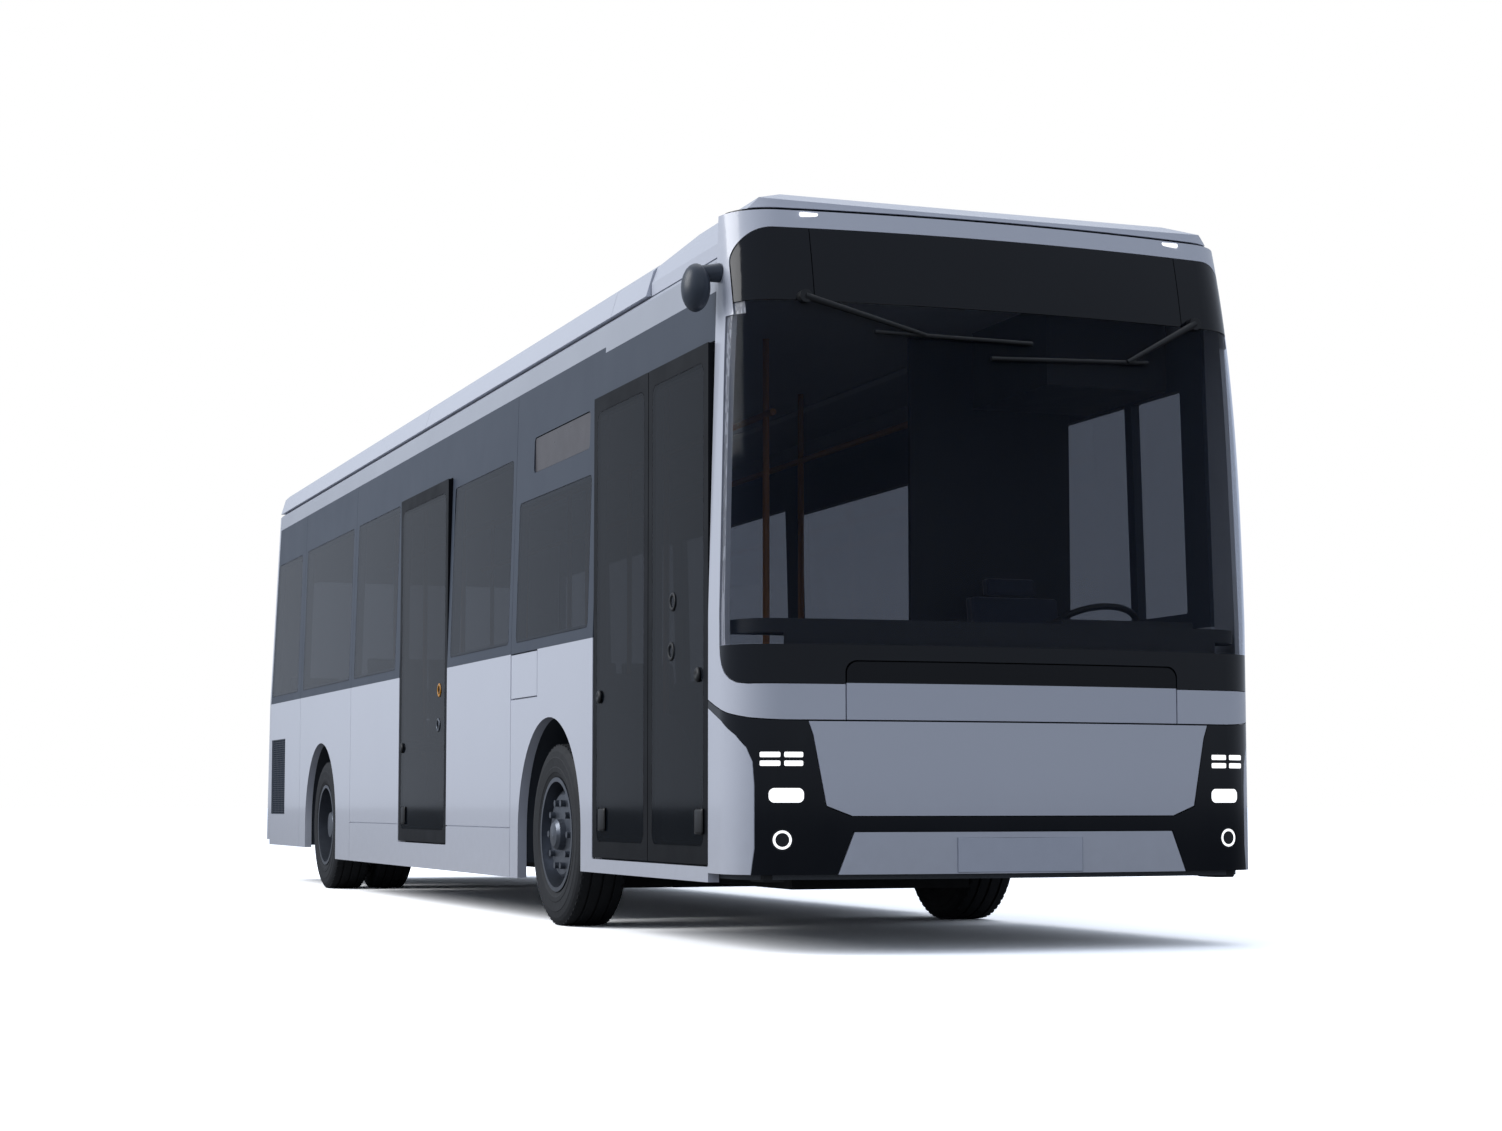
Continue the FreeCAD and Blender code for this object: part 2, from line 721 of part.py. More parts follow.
# ---------------------------------------------------------------- rear wall
def rear_wire(z, inset, rake):
    half = side_y(z) - inset
    corner = rear_corner_radius - inset
    corner_y = half - corner
    bow = rear_arc_radius - inset
    centre_x = tail_x + rake + rear_arc_radius
    corner_x = centre_x - math.sqrt((bow - corner) ** 2 - corner_y ** 2)
    touch_y = corner_y * bow / (bow - corner)
    touch_x = centre_x - math.sqrt(bow ** 2 - touch_y ** 2)
    slant = math.atan2(touch_y - corner_y, corner_x - touch_x) / 2.0 + math.pi / 4.0
    mid = (corner_x - corner * math.cos(slant), corner_y + corner * math.sin(slant))
    front_x = back(rear_seam_top_back) + 300.0
    a = V(front_x, -half, z)
    b = V(corner_x, -half, z)
    c = V(touch_x, -touch_y, z)
    d = V(touch_x, touch_y, z)
    e = V(corner_x, half, z)
    f = V(front_x, half, z)
    return Part.Wire([
        Part.LineSegment(a, b).toShape(),
        Part.Arc(b, V(mid[0], -mid[1], z), c).toShape(),
        Part.Arc(c, V(centre_x - bow, 0, z), d).toShape(),
        Part.Arc(d, V(mid[0], mid[1], z), e).toShape(),
        Part.LineSegment(e, f).toShape(),
        Part.LineSegment(f, a).toShape(),
    ])


def rear_solid(inset):
    """Everything inside the rear surface: two leaning stretches that meet at the belt."""
    low = Part.makeLoft([rear_wire(rear_foot_z, inset, 0.0),
                         rear_wire(belt_z, inset, rear_rake_low)], True, True)
    high = Part.makeLoft([rear_wire(belt_z, inset, rear_rake_low),
                          rear_wire(gutter_z, inset, rear_rake_low + rear_rake_high)],
                         True, True)
    return low.fuse(high).removeSplitter()


def rear_shell(outer, inner):
    keep = box(tail_x - 50.0, nose_x, -half_w - 50.0, half_w + 50.0, 0.0, gutter_z - 2.0)
    skin = rear_solid(outer).cut(rear_solid(inner)).common(keep)
    return skin.cut(ahead_of_seam(-4.0))


def rear_window_block(grow):
    return rounded_along_x(-rear_window_half_width - grow, rear_window_half_width + grow,
                           rear_window_low_z - grow, rear_window_high_z + grow, 60.0,
                           tail_x - 30.0, tail_x + 600.0)


def rear_door_block(grow):
    return rounded_along_x(-rear_door_half_width - grow, rear_door_half_width + grow,
                           rear_door_low_z - grow, rear_door_high_z + grow, 40.0,
                           tail_x - 30.0, tail_x + 400.0)


def tail_lamp_block(grow):
    low = rounded_along_x(940.0 - grow, 1040.0 + grow, 620.0 - grow, 1230.0 + grow, 40.0,
                          tail_x - 30.0, tail_x + 400.0)
    return low


def tail_lamp(grow):
    skin = rear_solid(2.0).cut(rear_solid(lamp_depth))
    return skin.common(tail_lamp_block(grow))


def rear_lid_axis():
    """Foot and direction of the lid's hinge, which leans with the rear surface."""
    rise = belt_z - rear_foot_z
    slope = V(rear_rake_low, 0, rise)
    slope.normalize()
    y = rear_door_half_width - hinge_inset
    sag = rear_arc_radius - math.sqrt(rear_arc_radius ** 2 - rear_door_half_width ** 2)
    x = tail_x + sag + hinge_inset
    foot = V(x, y, rear_foot_z)
    return foot + slope * ((rear_door_low_z - rear_foot_z) / slope.z), slope


def rear_lid_pin(grow):
    """Pins above and below the lid on its hinge line, or with grow their bores."""
    foot, slope = rear_lid_axis()
    reach = hinge_pin_reach + grow
    height = (rear_door_high_z - rear_door_low_z) / slope.z
    radius = hinge_pin_radius + grow
    low = cylinder(foot - slope * reach, slope, radius, reach + 25.0)
    high = cylinder(foot + slope * (height - 25.0), slope, radius, reach + 25.0)
    return group(low, high)


def make_rear_wall():
    """Rear wall with its corners, pane rebate, lid opening and lamp pockets."""
    shell = rear_shell(0.0, wall)
    shell = shell.cut(rear_door_block(rear_lid_gap))
    rebate = rear_solid(-5.0).cut(rear_solid(pane))
    shell = shell.cut(rear_window_block(pane_gap).common(rebate))
    shell = shell.cut(rear_window_block(-pane_flange))
    pocket = rear_solid(-5.0).cut(rear_solid(lamp_depth)).common(tail_lamp_block(0.5))
    shell = shell.cut(pocket).cut(mirrored(pocket))
    for bore in rear_lid_pin(bearing_clearance).Solids:
        shell = shell.cut(bore)
    return shell


def make_rear_door():
    """Lid of the drive bay."""
    lid = rear_shell(0.0, rear_lid_thickness).common(rear_door_block(0.0))
    return joined(lid, rear_lid_pin(0.0))


# ---------------------------------------------------------------- roof
def make_roof_panel():
    """Roof skin with its cant rails, from the header to the rear corners."""
    x_rear = tail_x
    x_front = back(nose_back + joint)
    half = side_y(gutter_z)
    outline = [
        (half, gutter_z), (half - 25.0, roof_z - 10.0), (half - 120.0, roof_z),
        (-half + 120.0, roof_z), (-half + 25.0, roof_z - 10.0), (-half, gutter_z),
        (-half + wall, gutter_z - 3.0), (-half + wall + 20.0, roof_under_z),
        (half - wall - 20.0, roof_under_z), (half - wall, gutter_z - 3.0),
    ]
    roof = along_x(outline, x_rear, x_front)
    for sign in (-1.0, 1.0):
        rail = wall_slab(back(rear_seam_back), x_front, band_top_z + joint, gutter_z,
                         0.0, wall, sign)
        drop = wall_slab(back(band_step_back - joint), x_front, band_front_top_z + joint,
                         band_top_z + 6.0, 0.0, wall, sign)
        roof = roof.fuse([rail, drop])
    plan = Part.Face(rear_wire(gutter_z, 0.0, rear_rake_low + rear_rake_high))
    plan.translate(V(0, 0, band_front_top_z - gutter_z))
    plan = plan.extrude(V(0, 0, 400.0))
    plan = plan.fuse(box(back(rear_seam_top_back), nose_x, -half_w, half_w,
                         band_front_top_z, roof_z + 100.0))
    roof = roof.common(plan)
    behind = box(tail_x - 50.0, nose_x, -half_w - 5.0, half_w + 5.0, 0.0, gutter_z)
    roof = roof.cut(behind.cut(ahead_of_seam(0.0)))
    return roof.removeSplitter()


def make_roof_fairings():
    """Coved panels along both roof edges, in three lengths a side."""
    half = side_y(gutter_z)
    outline = [
        (half - 4.0, roof_z + joint), (half - 40.0, 3120.0), (half - 70.0, 3150.0),
        (half - 150.0, 3162.0), (half - 150.0, 3142.0), (half - 80.0, 3130.0),
        (half - 62.0, 3112.0), (half - 140.0, 3040.0), (half - 140.0, roof_z + joint),
    ]
    stations = (1456.0, 2017.0, 5980.0, 11180.0)
    pieces = []
    for start, end in zip(stations[:-1], stations[1:]):
        pieces.append(along_x(outline, back(end - 2.0), back(start + 2.0)))
    return both_sides(group(*pieces))


def make_roof_equipment():
    """Battery packs and the air-conditioning unit on the roof."""
    unit_z = roof_z
    spans = ((1650.0, 3450.0, 250.0), (3600.0, 5400.0, 250.0), (5750.0, 8050.0, 210.0),
             (8400.0, 10400.0, 250.0))
    units = []
    for start, end, height in spans:
        unit = box(back(end), back(start), -780.0, 780.0, unit_z, unit_z + height)
        edges = [e for e in unit.Edges if e.Vertexes[0].Z > unit_z + 1 and
                 e.Vertexes[1].Z > unit_z + 1]
        units.append(unit.makeFillet(30.0, edges))
    return group(*units)


def camera_arm(sign, pillar_back):
    """One camera pod on its arm, this far behind the nose."""
    y = side_y(2863.0)
    top = V(back(pillar_back), y - 1.0, 2905.0)
    arm = Part.makeCone(42.0, 34.0, 90.0, top, V(0, 1, -0.1))
    pod = Part.makeSphere(1.0)
    shape = FreeCAD.Matrix()
    shape.scale(78.0, 62.0, 105.0)
    pod = pod.transformGeometry(shape)
    pod.translate(V(top.x - 10.0, y + 105.0, 2835.0))
    keep = box(top.x - 185.0, nose_x, y + joint, y + 400.0, 2600.0, 3100.0)
    made = joined(arm.common(keep), pod)
    return made if sign > 0.0 else mirrored(made)


def make_camera_arms():
    """Camera pods that stand in for mirrors: by the door, and over the driver's window."""
    return group(camera_arm(-1.0, door_camera_back), camera_arm(1.0, driver_camera_back))


def wiper_blade_end(y, z):
    """Centre of a blade's end, in front of the glass at a place seen from the front."""
    lift = blade_radius + blade_clearance
    return V(back(nose_rake_at(z)) - y ** 2 / (2.0 * nose_arc_radius) + lift, y, z)


def make_wipers():
    """Two arms that hang inwards from pivots in the visor's corners, with blades."""
    pieces = []
    for sign, near, far, share in ((-1.0, (637.0, 2624.0), (-91.0, 2612.0), 0.31),
                                   (1.0, (669.0, 2566.0), (-111.0, 2534.0), 0.14)):
        y = sign * wiper_pivot_y
        z = wiper_pivot_z
        face = back(nose_rake_at(z)) - y ** 2 / (2.0 * nose_arc_radius)
        pivot = cylinder(V(face - 20.0, y, z), V(1, 0, 0), 28.0, 64.0)
        pivot = pivot.cut(nose_solid(-joint, z - 60.0, z + 60.0))
        a = wiper_blade_end(sign * near[0], near[1])
        b = wiper_blade_end(sign * far[0], far[1])
        blade = cylinder(a, b - a, blade_radius, (b - a).Length)
        start = V(face + 34.0, y, z)
        end = a + (b - a) * share + V(12.0, 0, 0)
        arm = Part.makeCone(16.0, 9.0, (end - start).Length, start, end - start)
        pieces.append(joined(pivot, arm, blade))
    return group(*pieces)


# ---------------------------------------------------------------- doors
def leaf(x_front, x_rear, low, high):
    """Door leaf: frame and pane between two X positions, flush with the belt plane."""
    y0 = -half_w + door_face_inset
    y1 = y0 + leaf_thickness
    frame = rounded_along_y(x_rear, x_front, low, high, leaf_corner_radius, y0, y1)
    hole = rounded_along_y(x_rear + leaf_stile, x_front - leaf_stile, low + leaf_rail,
                           high - leaf_rail, 40.0, y0 - 5.0, y1 + 5.0)
    rebate = rounded_along_y(x_rear + leaf_stile - 18.0, x_front - leaf_stile + 18.0,
                             low + leaf_rail - 18.0, high - leaf_rail + 18.0, 52.0,
                             y0 - 5.0, y0 + door_pane)
    sheet = rounded_along_y(x_rear + leaf_stile - 16.0, x_front - leaf_stile + 16.0,
                            low + leaf_rail - 16.0, high - leaf_rail + 16.0, 50.0,
                            y0, y0 + door_pane)
    return frame.cut(hole).cut(rebate), sheet


def door_leaves():
    """Frame and pane of each leaf, the frames with their pivot pins."""
    front = leaf(back(door_front_back), back(door_split_back - leaf_gap / 2.0),
                 door_low_z, door_high_z)
    rear = leaf(back(door_split_back + leaf_gap / 2.0), back(door_rear_back),
                door_low_z, door_high_z)
    mid = leaf(back(mid_front_back), back(mid_rear_back), mid_low_z, mid_high_z)
    leaves = []
    for (frame, sheet), (x, y, z) in zip((front, rear, mid), side_hinges()):
        leaves.append((joined(frame, hinge_pin(x, y, z, 0.0)), sheet))
    return leaves


def make_charging_flap():
    flap = flap_hole(0.0, flap_face_inset, flap_face_inset + flap_thickness)
    x, y, z = side_hinges()[3]
    return joined(flap, hinge_pin(x, y, z, 0.0))


# ---------------------------------------------------------------- floor and underside
def make_floor():
    """Low floor, step riser and raised rear floor, open over the wheels."""
    x_step = back(step_back)
    x_rear = back(rear_seam_top_back - 200.0)
    low = box(x_step, back(nose_back + 4.0), -inner_y, inner_y,
              low_floor_z - floor_thickness, low_floor_z)
    toe = nose_solid(nose_inner_skin + joint, low_floor_z - floor_thickness, low_floor_z)
    toe = toe.common(box(back(nose_back + 4.0), nose_x, -half_w, half_w, 0.0, low_floor_z))
    riser = box(x_step - floor_thickness, x_step, -inner_y, inner_y,
                low_floor_z - floor_thickness, high_floor_z)
    high = box(x_rear, x_step, -inner_y, inner_y,
               high_floor_z - floor_thickness, high_floor_z)
    tail = rear_solid(wall + joint).common(box(tail_x, x_rear, -half_w, half_w,
                                               high_floor_z - floor_thickness,
                                               high_floor_z))
    deck = joined(low, toe, riser, high, tail)
    for sign in (-1.0, 1.0):
        deck = deck.cut(housing_space(front_axle_x, front_housing_inner_y, sign,
                                      housing_wall))
        deck = deck.cut(housing_space(rear_axle_x, rear_housing_inner_y, sign,
                                      housing_wall))
    return deck


def housing_space(axle_x, inner_limit, sign, grow):
    """Room for a wheel: the arch shape from the side wall inwards, grown by grow."""
    radius = arch_radius + housing_reveal + grow
    return wheel_opening(axle_x, radius, sign, inner_limit - grow, inner_y)


def axle_passage(sign):
    """Slot in a rear housing's inner wall that lets the axle rise and fall."""
    half = rear_beam_radius + 25.0
    y0 = sign * (rear_housing_inner_y - 2.0 * housing_wall)
    y1 = sign * (rear_housing_inner_y + housing_wall)
    top = cylinder(V(rear_axle_x, y0, axle_z), V(0, sign, 0), half, abs(y1 - y0))
    return top.fuse(box(rear_axle_x - half, rear_axle_x + half, y0, y1, 0.0, axle_z))


def make_wheel_housings():
    """Four boxes over the wheels, open below and outboard."""
    shells = []
    for axle_x, limit in ((front_axle_x, front_housing_inner_y),
                          (rear_axle_x, rear_housing_inner_y)):
        floor_low = low_floor_z - floor_thickness
        for sign in (-1.0, 1.0):
            outer = housing_space(axle_x, limit, sign, housing_wall)
            inner = housing_space(axle_x, limit, sign, 0.0)
            below = box(axle_x - 900.0, axle_x + 900.0, 0.0, sign * (half_w + 10.0),
                        -2.0 * arch_radius, floor_low)
            shell = outer.cut(inner).cut(below)
            if axle_x == rear_axle_x:
                shell = shell.cut(axle_passage(sign))
            shells.append(shell)
    return group(*shells)


def make_chassis_frame():
    """Rails and cross members under the floor, in lengths between the axles."""
    rail_y = 420.0
    rail_w = 80.0
    top = low_floor_z - floor_thickness
    low = top - 90.0
    parts = []
    for start, end in ((1500.0, front_axle_back - 260.0),
                       (front_axle_back + 260.0, step_back)):
        pieces = []
        for sign in (-1.0, 1.0):
            y = sign * rail_y
            pieces.append(box(back(end), back(start), y - rail_w / 2.0, y + rail_w / 2.0,
                              low, top))
        count = max(2, int((end - start) / 900.0) + 1)
        for i in range(count):
            x = back(start + 40.0 + (end - start - 80.0) * i / (count - 1))
            pieces.append(box(x - 40.0, x + 40.0, -rail_y, rail_y, low, top))
        parts.append(joined(*pieces))
    top = high_floor_z - floor_thickness
    start = step_back + floor_thickness
    end = rear_seam_back + 60.0
    pieces = []
    for sign in (-1.0, 1.0):
        y = sign * 460.0
        pieces.append(box(back(end), back(start), y - 35.0, y + 35.0, top - 30.0, top))
    for x in (back(start + 40.0), rear_axle_x + 700.0, rear_axle_x - 700.0, back(end - 40.0)):
        pieces.append(box(x - 40.0, x + 40.0, -460.0, 460.0, top - 200.0, top))
    parts.append(joined(*pieces))
    return group(*parts)


# ---------------------------------------------------------------- axles and wheels
def make_front_axle():
    """Dropped beam with a fork at each end for the kingpin, and its two springs' seats."""
    end_y = wheel_outer_y - tyre_width - fork_web_clearance
    beam = box(front_axle_x - front_beam_width / 2.0, front_axle_x + front_beam_width / 2.0,
               -end_y, end_y, front_beam_bottom, front_beam_bottom + front_beam_height)
    pieces = [beam]
    reach = knuckle_height / 2.0 + fork_clearance
    for sign in (-1.0, 1.0):
        web = box(front_axle_x - 45.0, front_axle_x + 45.0, sign * (end_y - 60.0),
                  sign * end_y, front_beam_bottom, axle_z + reach + fork_height)
        pieces.append(web)
        for low in (axle_z + reach, axle_z - reach - fork_height):
            arm = box(front_axle_x - 45.0, front_axle_x + 45.0, sign * (end_y - 30.0),
                      sign * kingpin_y, low, low + fork_height)
            eye = cylinder(V(front_axle_x, sign * kingpin_y, low), V(0, 0, 1), 45.0,
                           fork_height)
            pieces.extend([arm, eye])
        seat_y = front_housing_inner_y - 120.0
        pieces.append(box(front_axle_x - 70.0, front_axle_x + 70.0, sign * (seat_y - 70.0),
                          sign * (seat_y + 70.0), front_beam_bottom,
                          low_floor_z - floor_thickness))
    axle = joined(*pieces)
    for sign in (-1.0, 1.0):
        bore = cylinder(V(front_axle_x, sign * kingpin_y, 0.0), V(0, 0, 1),
                        kingpin_radius + bearing_clearance, 2.0 * axle_z)
        axle = axle.cut(bore)
    return axle


def make_knuckle(sign):
    """Steering knuckle: block on the kingpin with the stub that carries the wheel."""
    low = axle_z - knuckle_height / 2.0
    block = cylinder(V(front_axle_x, sign * kingpin_y, low), V(0, 0, 1), knuckle_radius,
                     knuckle_height)
    reach = knuckle_height / 2.0 + fork_clearance + fork_height
    pin = cylinder(V(front_axle_x, sign * kingpin_y, axle_z - reach), V(0, 0, 1),
                   kingpin_radius, 2.0 * reach)
    stub_end = wheel_outer_y - 40.0
    stub = cylinder(V(front_axle_x, sign * kingpin_y, axle_z), V(0, sign, 0), stub_radius,
                    stub_end - kingpin_y)
    flange = cylinder(V(front_axle_x, sign * (kingpin_y + 40.0), axle_z), V(0, sign, 0),
                      80.0, 25.0)
    return joined(block, pin, stub, flange)


def tyre(x, outer_y, sign):
    """Road tyre with rounded shoulders and beads that sit on the rim."""
    w = tyre_width
    r = tyre_radius
    bead = rim_barrel_radius + 14.0 + bearing_clearance
    profile = [
        (bead, 22.0), (bead + 14.0, 6.0 + 8.0), (340.0, 4.0), (400.0, 0.0), (438.0, 6.0),
        (456.0, 18.0), (r - 2.0, 34.0), (r, 60.0), (r, w - 60.0), (r - 2.0, w - 34.0),
        (456.0, w - 18.0), (438.0, w - 6.0), (400.0, w), (340.0, w - 4.0),
        (bead + 14.0, w - 14.0), (bead, w - 22.0),
    ]
    placed = [(radius, outer_y - y) for radius, y in profile]
    return turned_y(placed, x, sign)


def rim_barrel(outer_y):
    """Cross-section of the barrel of a rim, from its outer edge inwards."""
    w = tyre_width
    b = rim_barrel_radius
    f = rim_flange_radius - 2.0
    y = outer_y
    return [
        (b, y - 8.0), (f, y - 8.0), (f, y - 13.5), (b + 14.0, y - 21.5),
        (b + 14.0, y - w + 21.5), (f, y - w + 13.5), (f, y - w + 8.0), (b, y - w + 8.0),
    ]


def wheel_nuts(x, face_y, sign):
    nuts = []
    for i in range(nut_count):
        turn = 2.0 * math.pi * i / nut_count
        place = V(x + nut_circle_radius * math.cos(turn), sign * face_y,
                  axle_z + nut_circle_radius * math.sin(turn))
        nuts.append(cylinder(place, V(0, sign, 0), nut_radius, nut_height))
    return nuts


def hand_holes(x, face_y, sign, radius, count):
    holes = []
    for i in range(count):
        turn = 2.0 * math.pi * (i + 0.5) / count
        place = V(x + radius * math.cos(turn), sign * (face_y - 120.0),
                  axle_z + radius * math.sin(turn))
        holes.append(cylinder(place, V(0, sign, 0), 22.0, 240.0))
    return holes


def make_front_rim(sign):
    """Front wheel: barrel, bulged disc, hub and nuts, turning on the stub."""
    x = front_axle_x
    barrel = turned_y(rim_barrel(wheel_outer_y), x, sign)
    face = wheel_outer_y - front_disc_inset
    t = disc_thickness
    disc = turned_y([
        (0.0, face), (110.0, face), (205.0, face), (rim_barrel_radius + 4.0, face - 60.0),
        (rim_barrel_radius + 4.0, face - 60.0 - t), (205.0, face - t), (110.0, face - t),
        (110.0, kingpin_y + 75.0), (0.0, kingpin_y + 75.0),
    ], x, sign)
    cap = turned_y([(0.0, face + 52.0), (62.0, face + 46.0), (78.0, face + 30.0),
                    (82.0, face - 1.0), (0.0, face - 1.0)], x, sign)
    shape = joined(barrel, disc, cap, *wheel_nuts(x, face - 1.0, sign))
    for hole in hand_holes(x, face - 30.0, sign, 238.0, nut_count):
        shape = shape.cut(hole)
    bore = cylinder(V(x, sign * kingpin_y, axle_z), V(0, sign, 0),
                    stub_radius + bearing_clearance, wheel_outer_y - 39.7 - kingpin_y)
    return shape.cut(bore)


def make_rear_rim(sign):
    """Twin rear wheel: two barrels with one dished disc each, on a common hub."""
    x = rear_axle_x
    outer = turned_y(rim_barrel(wheel_outer_y), x, sign)
    inner_outer_y = wheel_outer_y - tyre_width - twin_gap
    inner = turned_y(rim_barrel(inner_outer_y), x, sign)
    face = wheel_outer_y - rear_dish_depth
    t = disc_thickness
    b = rim_barrel_radius + 4.0
    low = inner_outer_y - 60.0
    disc = turned_y([
        (0.0, face), (150.0, face), (205.0, face), (b, face - 40.0), (b, face - 40.0 - t),
        (205.0, face - t), (190.0, face - t), (190.0, low + t), (205.0, low + t), (b, low + t + 30.0),
        (b, low + 30.0), (205.0, low), (120.0, low), (120.0, twin_inner_y + 20.0),
        (0.0, twin_inner_y + 20.0),
    ], x, sign)
    cap = turned_y([(0.0, face + 110.0), (90.0, face + 108.0), (98.0, face + 95.0),
                    (105.0, face - 1.0), (0.0, face - 1.0)], x, sign)
    shape = joined(outer, inner, disc, cap, *wheel_nuts(x, face - 1.0, sign))
    for hole in hand_holes(x, face - 20.0, sign, 240.0, nut_count):
        shape = shape.cut(hole)
    bore = cylinder(V(x, sign * (twin_inner_y - 10.0), axle_z), V(0, sign, 0),
                    spindle_radius + bearing_clearance, face - twin_inner_y + 10.3)
    return shape.cut(bore)


def make_rear_tyres(sign):
    outer = tyre(rear_axle_x, wheel_outer_y, sign)
    inner = tyre(rear_axle_x, wheel_outer_y - tyre_width - twin_gap, sign)
    return group(outer, inner)


def make_rear_axle():
    """Driven rear axle: tube, central drive unit, spindles and spring seats."""
    reach = twin_inner_y - 15.0
    tube = cylinder(V(rear_axle_x, -reach, axle_z), V(0, 1, 0), rear_beam_radius, 2.0 * reach)
    unit = cylinder(V(rear_axle_x, -drive_unit_length / 2.0, axle_z), V(0, 1, 0),
                    drive_unit_radius, drive_unit_length)
    end = wheel_outer_y - rear_dish_depth
    spindle = cylinder(V(rear_axle_x, -end, axle_z), V(0, 1, 0), spindle_radius, 2.0 * end)
    pieces = [tube, unit, spindle]
    under = high_floor_z - floor_thickness - 30.0
    for sign in (-1.0, 1.0):
        pieces.append(box(rear_axle_x - 60.0, rear_axle_x + 60.0, sign * 425.0, sign * 495.0,
                          axle_z, under))
    return joined(*pieces)


# ---------------------------------------------------------------- cabin
def make_dashboard():
    """Shelf across the nose with the driver's binnacle and steering column."""
    front = nose_solid(nose_inner_skin + joint, 700.0, dash_top_z)
    keep = box(back(dash_depth), nose_x, -half_w, half_w, 700.0, dash_top_z)
    hollow = box(back(dash_depth + 10.0), back(dash_depth - 200.0), -half_w, half_w,
                 690.0, dash_top_z - 60.0)
    shelf = front.common(keep).cut(hollow)
    binnacle = box(back(470.0), back(dash_depth - 40.0), 350.0, 1010.0, dash_top_z - 160.0,
                   dash_top_z + 40.0)
    base = column_base()
    return group(joined(shelf, binnacle), base)


def column_base():
    start = column_top - column_dir * 330.0
    post = cylinder(start, column_dir, 38.0, 330.0)
    foot = box(start.x - 60.0, back(300.0), 620.0, 740.0, start.z - 80.0, start.z + 60.0)
    riser = box(start.x - 60.0, start.x + 60.0, 620.0, 740.0, low_floor_z, start.z)
    return joined(post, foot, riser)


def make_steering_wheel():
    hub_at = column_top + column_dir * 0.3
    hub = cylinder(hub_at, column_dir, 48.0, 55.0)
    centre = hub_at + column_dir * 40.0
    ring = Part.makeTorus(steering_radius, 15.0, centre, column_dir)
    side = V(0, 1, 0)
    up = column_dir.cross(side)
    pieces = [hub, ring]
    for direction in (side, side * -1.0, up * 1.0):
        pieces.append(cylinder(centre, direction, 11.0, steering_radius))
    return joined(*pieces)


def seat_pair(x, y, floor):
    """Cushions and backs side by side on one pedestal; the back is at the rear."""
    span = 2.0 * seat_width
    low = floor + 380.0
    cushion = box(x - 210.0, x + 210.0, y - span / 2.0, y + span / 2.0, low, low + 70.0)
    rest = along_y([(x - 230.0, low), (x - 165.0, low), (x - 235.0, low + 640.0),
                    (x - 290.0, low + 640.0)], y - span / 2.0, y + span / 2.0)
    leg = box(x - 90.0, x + 60.0, y - 60.0, y + 60.0, floor, low)
    return joined(cushion, rest, leg)


def make_passenger_seats():
    seats = []
    rows_low = (3900.0, 4700.0)
    y_pair = inner_y - 40.0 - seat_width
    for row in rows_low:
        seats.append(seat_pair(back(row), y_pair, low_floor_z))
        seats.append(seat_pair(back(row), -y_pair, low_floor_z))
    for row in (5500.0, 6300.0):
        seats.append(seat_pair(back(row), y_pair, low_floor_z))
    rear_first = step_back + 700.0
    for row in (rear_first, rear_first + 3000.0):
        for sign in (-1.0, 1.0):
            seats.append(seat_pair(back(row), sign * y_pair, high_floor_z))
    return group(*seats)


def make_driver_seat():
    x = back(driver_seat_back)
    y = driver_y
    base = box(x - 200.0, x + 200.0, y - 180.0, y + 180.0, driver_floor_z, driver_floor_z + 330.0)
    cushion = box(x - 240.0, x + 250.0, y - 250.0, y + 250.0, driver_floor_z + 330.0,
                  driver_floor_z + 460.0)
    low = driver_floor_z + 400.0
    rest = along_y([(x - 250.0, low), (x - 130.0, low), (x - 250.0, low + 720.0),
                    (x - 350.0, low + 720.0)], y - 240.0, y + 240.0)
    return joined(base, cushion, rest)


def make_driver_partition():
    """Panel behind the driver from the floor to the ceiling, with a side return."""
    x = back(1720.0)
    back_panel = box(x - 30.0, x, 260.0, inner_y - 60.0, low_floor_z, roof_under_z)
    side = box(x, back(driver_seat_back), 260.0, 290.0, low_floor_z, 1500.0)
    platform = box(x, back(560.0), 260.0, inner_y - 60.0, low_floor_z, driver_floor_z)
    boxes = box(back(1500.0), back(700.0), 500.0, inner_y - 75.0, 2560.0, roof_under_z)
    return joined(back_panel, side, platform), boxes


def make_handrails():
    """Stanchions from floor to ceiling and a grab rail along each side of the aisle."""
    radius = 17.0
    rails = []
    for sign in (-1.0, 1.0):
        pieces = []
        y = sign * 400.0
        first = 1900.0
        last = rear_seam_back - 500.0
        rail = cylinder(V(back(last), y, 2560.0), V(1, 0, 0), radius, last - first)
        pieces.append(rail)
        posts = (2000.0, 3560.0, 5070.0, 6750.0)
        for post in posts:
            pieces.append(cylinder(V(back(post), y, low_floor_z), V(0, 0, 1), radius,
                                   roof_under_z - low_floor_z))
        for post in (8200.0, 9400.0, 10450.0):
            pieces.append(cylinder(V(back(post), y, high_floor_z), V(0, 0, 1), radius,
                                   roof_under_z - high_floor_z))
        rails.append(joined(*pieces))
    return group(*rails)


# ---------------------------------------------------------------- export
def write(name, shape):
    if not shape.isValid():
        print("INVALID", name)
    shape.exportStep(os.path.join("parts", name + ".step"))
    print(name, len(shape.Solids), "solids", round(shape.Volume / 1e6, 2), "litres")


